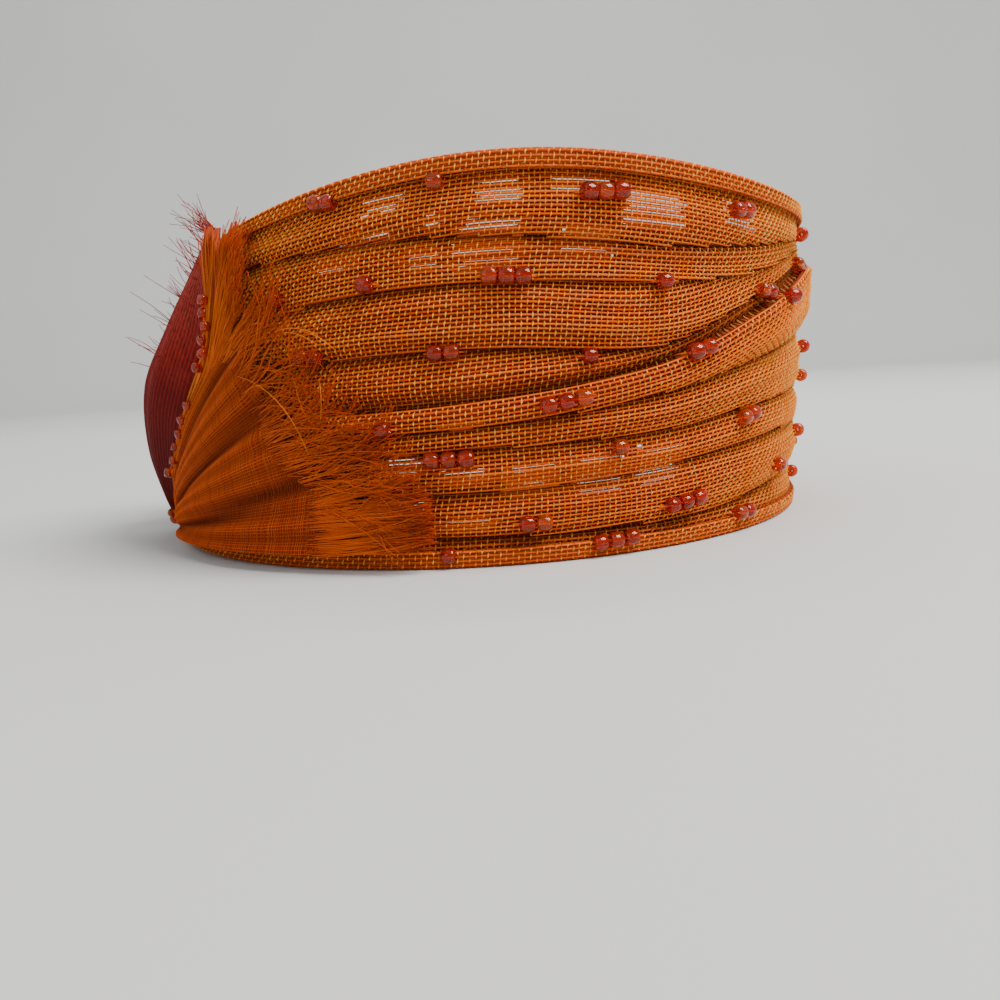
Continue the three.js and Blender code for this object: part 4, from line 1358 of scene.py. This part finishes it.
def bead_places():
    """Centres, axes, outward directions and scales of all beads, and the threads through them."""
    beads = []
    threads = []
    for run in BEAD_RUNS:
        count = run["beads"]
        offsets = (np.arange(count) - (count - 1) / 2) * BEAD_SPACING
        middle = run["turn"]
        height = run["share"] * full_height(np.array([middle]))[0]
        ends = np.array([offsets[0] - BEAD_SPACING * 0.8, *offsets, offsets[-1] + BEAD_SPACING * 0.8])
        turn = middle + ends / arc_per_degree(np.array(middle))
        rise = height + run["rise"] * ends / BEAD_SPACING
        out = surface_out(turn, rise)
        out[1:-1] = np.max(out[1:-1]) + BEAD_DIAMETER / 2 - BEAD_SINK
        out[[0, -1]] -= 0.1
        places = skin(turn, rise, out)
        axis = places[-1] - places[0]
        axis /= np.linalg.norm(axis)
        for i in range(count):
            beads.append((places[i + 1], axis + draws.normal(0, 0.05, 3), outward(turn[i + 1 : i + 2])[0],
                          draws.uniform(0.94, 1.05)))
        threads.append((places, outward(turn)))
    for string in BEAD_STRINGS:
        height = np.linspace(string["low"], string["high"], string["beads"])
        zigzag = np.where(np.arange(string["beads"]) % 2, STRING_ZIGZAG, -STRING_ZIGZAG)
        turn = fan_border(height) + STRING_TURN + zigzag
        places = skin(turn, height, string["out"] + draws.normal(0, 0.2, string["beads"]))
        for i in range(string["beads"]):
            tilt = draws.normal(0, 0.25, 3)
            beads.append((places[i], np.array([0, 0, 1.0]) + tilt, outward(turn[i : i + 1])[0],
                          STRING_BEAD_SCALE * draws.uniform(0.9, 1.05)))
        threads.append((places, outward(turn)))
    for row in GATHER_BEADS:
        turn = np.array([row["turn"]])
        place = skin(turn, row["height"], row["out"])[0]
        beads.append((place, np.array([0.4, -0.6, 0.4]), outward(turn)[0], row["scale"]))
    return beads, threads


def bead_pieces():
    template, faces = bead_template()
    beads, threads = bead_places()
    points = []
    all_faces = []
    for number, (place, axis, out, scale) in enumerate(beads):
        along = axis / np.linalg.norm(axis)
        side = np.cross(out, along)
        side /= np.linalg.norm(side)
        up = np.cross(along, side)
        frame_of_bead = np.stack([along, side, up])
        points.append(place + scale * template @ frame_of_bead)
        all_faces.append(faces + number * len(template))
    faces = [np.concatenate(all_faces)]
    glass = new_piece("seed_beads", np.concatenate(points), faces, [GLASS])
    parts = []
    for places, ups in threads:
        radii = np.full(len(places), BEAD_THREAD_RADIUS)
        parts.append((places, radii, np.zeros(len(places), int), ups))
    thread = yarn_piece("bead_threads", parts, WEFT, sides=5)
    return glass, thread


def hem_stitches():
    """Fine zigzag stitching just inside both bindings."""
    parts = []
    for edge_at, way in ((high_edge, -1), (low_edge, 1)):
        turns = np.linspace(-END_TURN + 3, END_TURN - 3, STITCHES)
        zigzag = np.where(np.arange(len(turns)) % 2, STITCH_SWING, -STITCH_SWING)
        height = edge_at(turns) + way * (HEM_WIDTH + 0.2 + zigzag)
        on_hem = zigzag < 0
        out = np.where(on_hem, CLEARANCE + HEM_CLOTH + 0.45, surface_out(turns, height) + 0.6)
        kept = ~under_trim(turns, height)[None]
        centres = skin(turns, height, out)
        runs, stays = kept_runs(kept)
        stays = stays[0]
        parts.append((centres[stays], np.full(stays.sum(), STITCH_RADIUS), runs, outward(turns)[stays]))
    return yarn_piece("hem_stitches", parts, HEM)


def end_cords():
    """Yarns that run up and over the raw cloth at both ends of the band."""
    parts = []
    for side in (-1, 1):
        for inwards, out in END_CORDS:
            turn = side * (END_TURN - inwards / arc_per_degree(np.array(END_TURN)))
            steps = np.linspace(0, 1, 120)
            low = low_edge(turn) + 0.6
            height = low + (high_edge(turn) - 0.6 - low) * steps
            turns = np.full(len(steps), turn)
            centres = skin(turns, height, surface_out(turns, height) + out)
            radii = END_CORD_RADIUS * (1 + 0.16 * np.sin(height * 3.9 + 7 * inwards))
            parts.append((centres, radii, np.zeros(len(steps), int), outward(turns)))
    return yarn_piece("end_cords", parts, WEFT, sides=5)


def stage():
    """A seamless pale floor that curves up all round the object."""
    profile = [(0.4, 0.0), (FLOOR_RADIUS, 0.0)]
    steps = 12
    for step in range(1, steps + 1):
        angle = math.radians(90 * step / steps)
        far = FLOOR_RADIUS + FLOOR_CURVE * math.sin(angle)
        profile.append((far, FLOOR_CURVE * (1 - math.cos(angle))))
    profile.append((FLOOR_RADIUS + FLOOR_CURVE, FLOOR_TOP))
    count = 96
    spin = 2 * math.pi * np.arange(count) / count
    points = [(0.0, 0.0, 0.0)]
    points += [(far * math.cos(a), far * math.sin(a), high) for far, high in profile for a in spin]
    faces = [(0, 1 + i, 1 + (i + 1) % count) for i in range(count)]
    for ring in range(len(profile) - 1):
        for i in range(count):
            start = 1 + ring * count
            after = (i + 1) % count
            faces.append((start + i, start + count + i, start + count + after, start + after))
    mesh = bpy.data.meshes.new("pale_sweep")
    mesh.from_pydata(points, [], faces)
    mesh.polygons.foreach_set("use_smooth", np.ones(len(faces), bool))
    mesh.materials.append(FLOOR)
    floor = bpy.data.objects.new("pale_sweep", mesh)
    bpy.context.scene.collection.objects.link(floor)


def camera():
    yaw, pitch, roll = (math.radians(angle) for angle in (CAMERA_YAW, CAMERA_PITCH, CAMERA_ROLL))
    ahead = Vector((math.sin(yaw) * math.cos(pitch), math.cos(yaw) * math.cos(pitch), -math.sin(pitch)))
    level = Vector((math.cos(yaw), -math.sin(yaw), 0))
    upright = level.cross(ahead)
    right = level * math.cos(roll) + upright * math.sin(roll)
    up = upright * math.cos(roll) - level * math.sin(roll)
    matrix = Matrix.Identity(4)
    for column, axis in enumerate((right, up, -ahead)):
        for row in range(3):
            matrix[row][column] = axis[row]
    matrix.translation = Vector((np.array(CAMERA_PLACE) + SHIFT) * MM)
    data = bpy.data.cameras.new("photo_view")
    data.sensor_width = CAMERA_SENSOR
    data.sensor_fit = "HORIZONTAL"
    data.lens = CAMERA_LENS
    data.clip_start = 0.01
    view = bpy.data.objects.new("photo_view", data)
    bpy.context.scene.collection.objects.link(view)
    view.matrix_world = matrix
    bpy.context.scene.camera = view


def area_light(name, place, target, size, watts, colour):
    data = bpy.data.lights.new(name, "AREA")
    data.energy = watts
    data.size = size
    data.color = colour
    lamp = bpy.data.objects.new(name, data)
    bpy.context.scene.collection.objects.link(lamp)
    lamp.location = place
    lamp.rotation_euler = (Vector(target) - Vector(place)).to_track_quat("-Z", "Y").to_euler()


def lighting():
    area_light("window_key", (0.5, -0.3, 0.75), (0.0, 0.0, 0.03), 0.5, 13.0, (1.0, 0.985, 0.96))
    area_light("room_fill", (-0.6, -0.6, 0.45), (0.0, 0.0, 0.03), 0.8, 2.0, (0.96, 0.98, 1.0))
    area_light("wall_wash", (0.15, 0.5, 1.2), (0.15, 1.9, 0.3), 0.9, 20.0, (1.0, 0.99, 0.98))
    world = bpy.data.worlds.new("room")
    world.use_nodes = True
    background = world.node_tree.nodes["Background"]
    background.inputs["Color"].default_value = (0.85, 0.87, 0.9, 1)
    background.inputs["Strength"].default_value = 0.7
    bpy.context.scene.world = world


def band():
    for pleats, name, binding_name, edge_at, upwards in (
        (UPPER_PLEATS, "upper_drape", "upper_binding", high_edge, True),
        (LOWER_PLEATS, "lower_drape", "lower_binding", low_edge, False),
    ):
        cloth, (length, width) = undercloth(pleats, name)
        weave(pleats, name)
        hem, yarns, round_it = binding(binding_name, edge_at, upwards)


def ornament():
    body, threads = frayed_fan()
    fringe = fringe_strands()
    widest = max(row["back"] for row in PETAL_SECTIONS)
    petal, (wide, tall), face = cupped_petal(
        "petal_silk", PETAL_SECTIONS, FAN_BASE_HEIGHT, PETAL_HEIGHT,
        lambda height: fan_border(height) - PETAL_GAP_TURN, FAN_TURN - PETAL_GAP_TURN, PETAL_BULGE,
        "crimson_petal")
    hairs = petal_hairs(face)
    bud_turn = FAN_TURN - 2 * PETAL_GAP_TURN - widest
    bud, (wide, tall), _ = cupped_petal(
        "bud_silk", BUD_SECTIONS, FAN_BASE_HEIGHT + BUD_BASE_SHARE * PETAL_HEIGHT, BUD_HEIGHT,
        lambda height: bud_turn + 0 * height, bud_turn, BUD_BULGE, "folded_bud")


camera()
lighting()
stage()
band()
ornament()
bead_pieces()
hem_stitches()
end_cords()
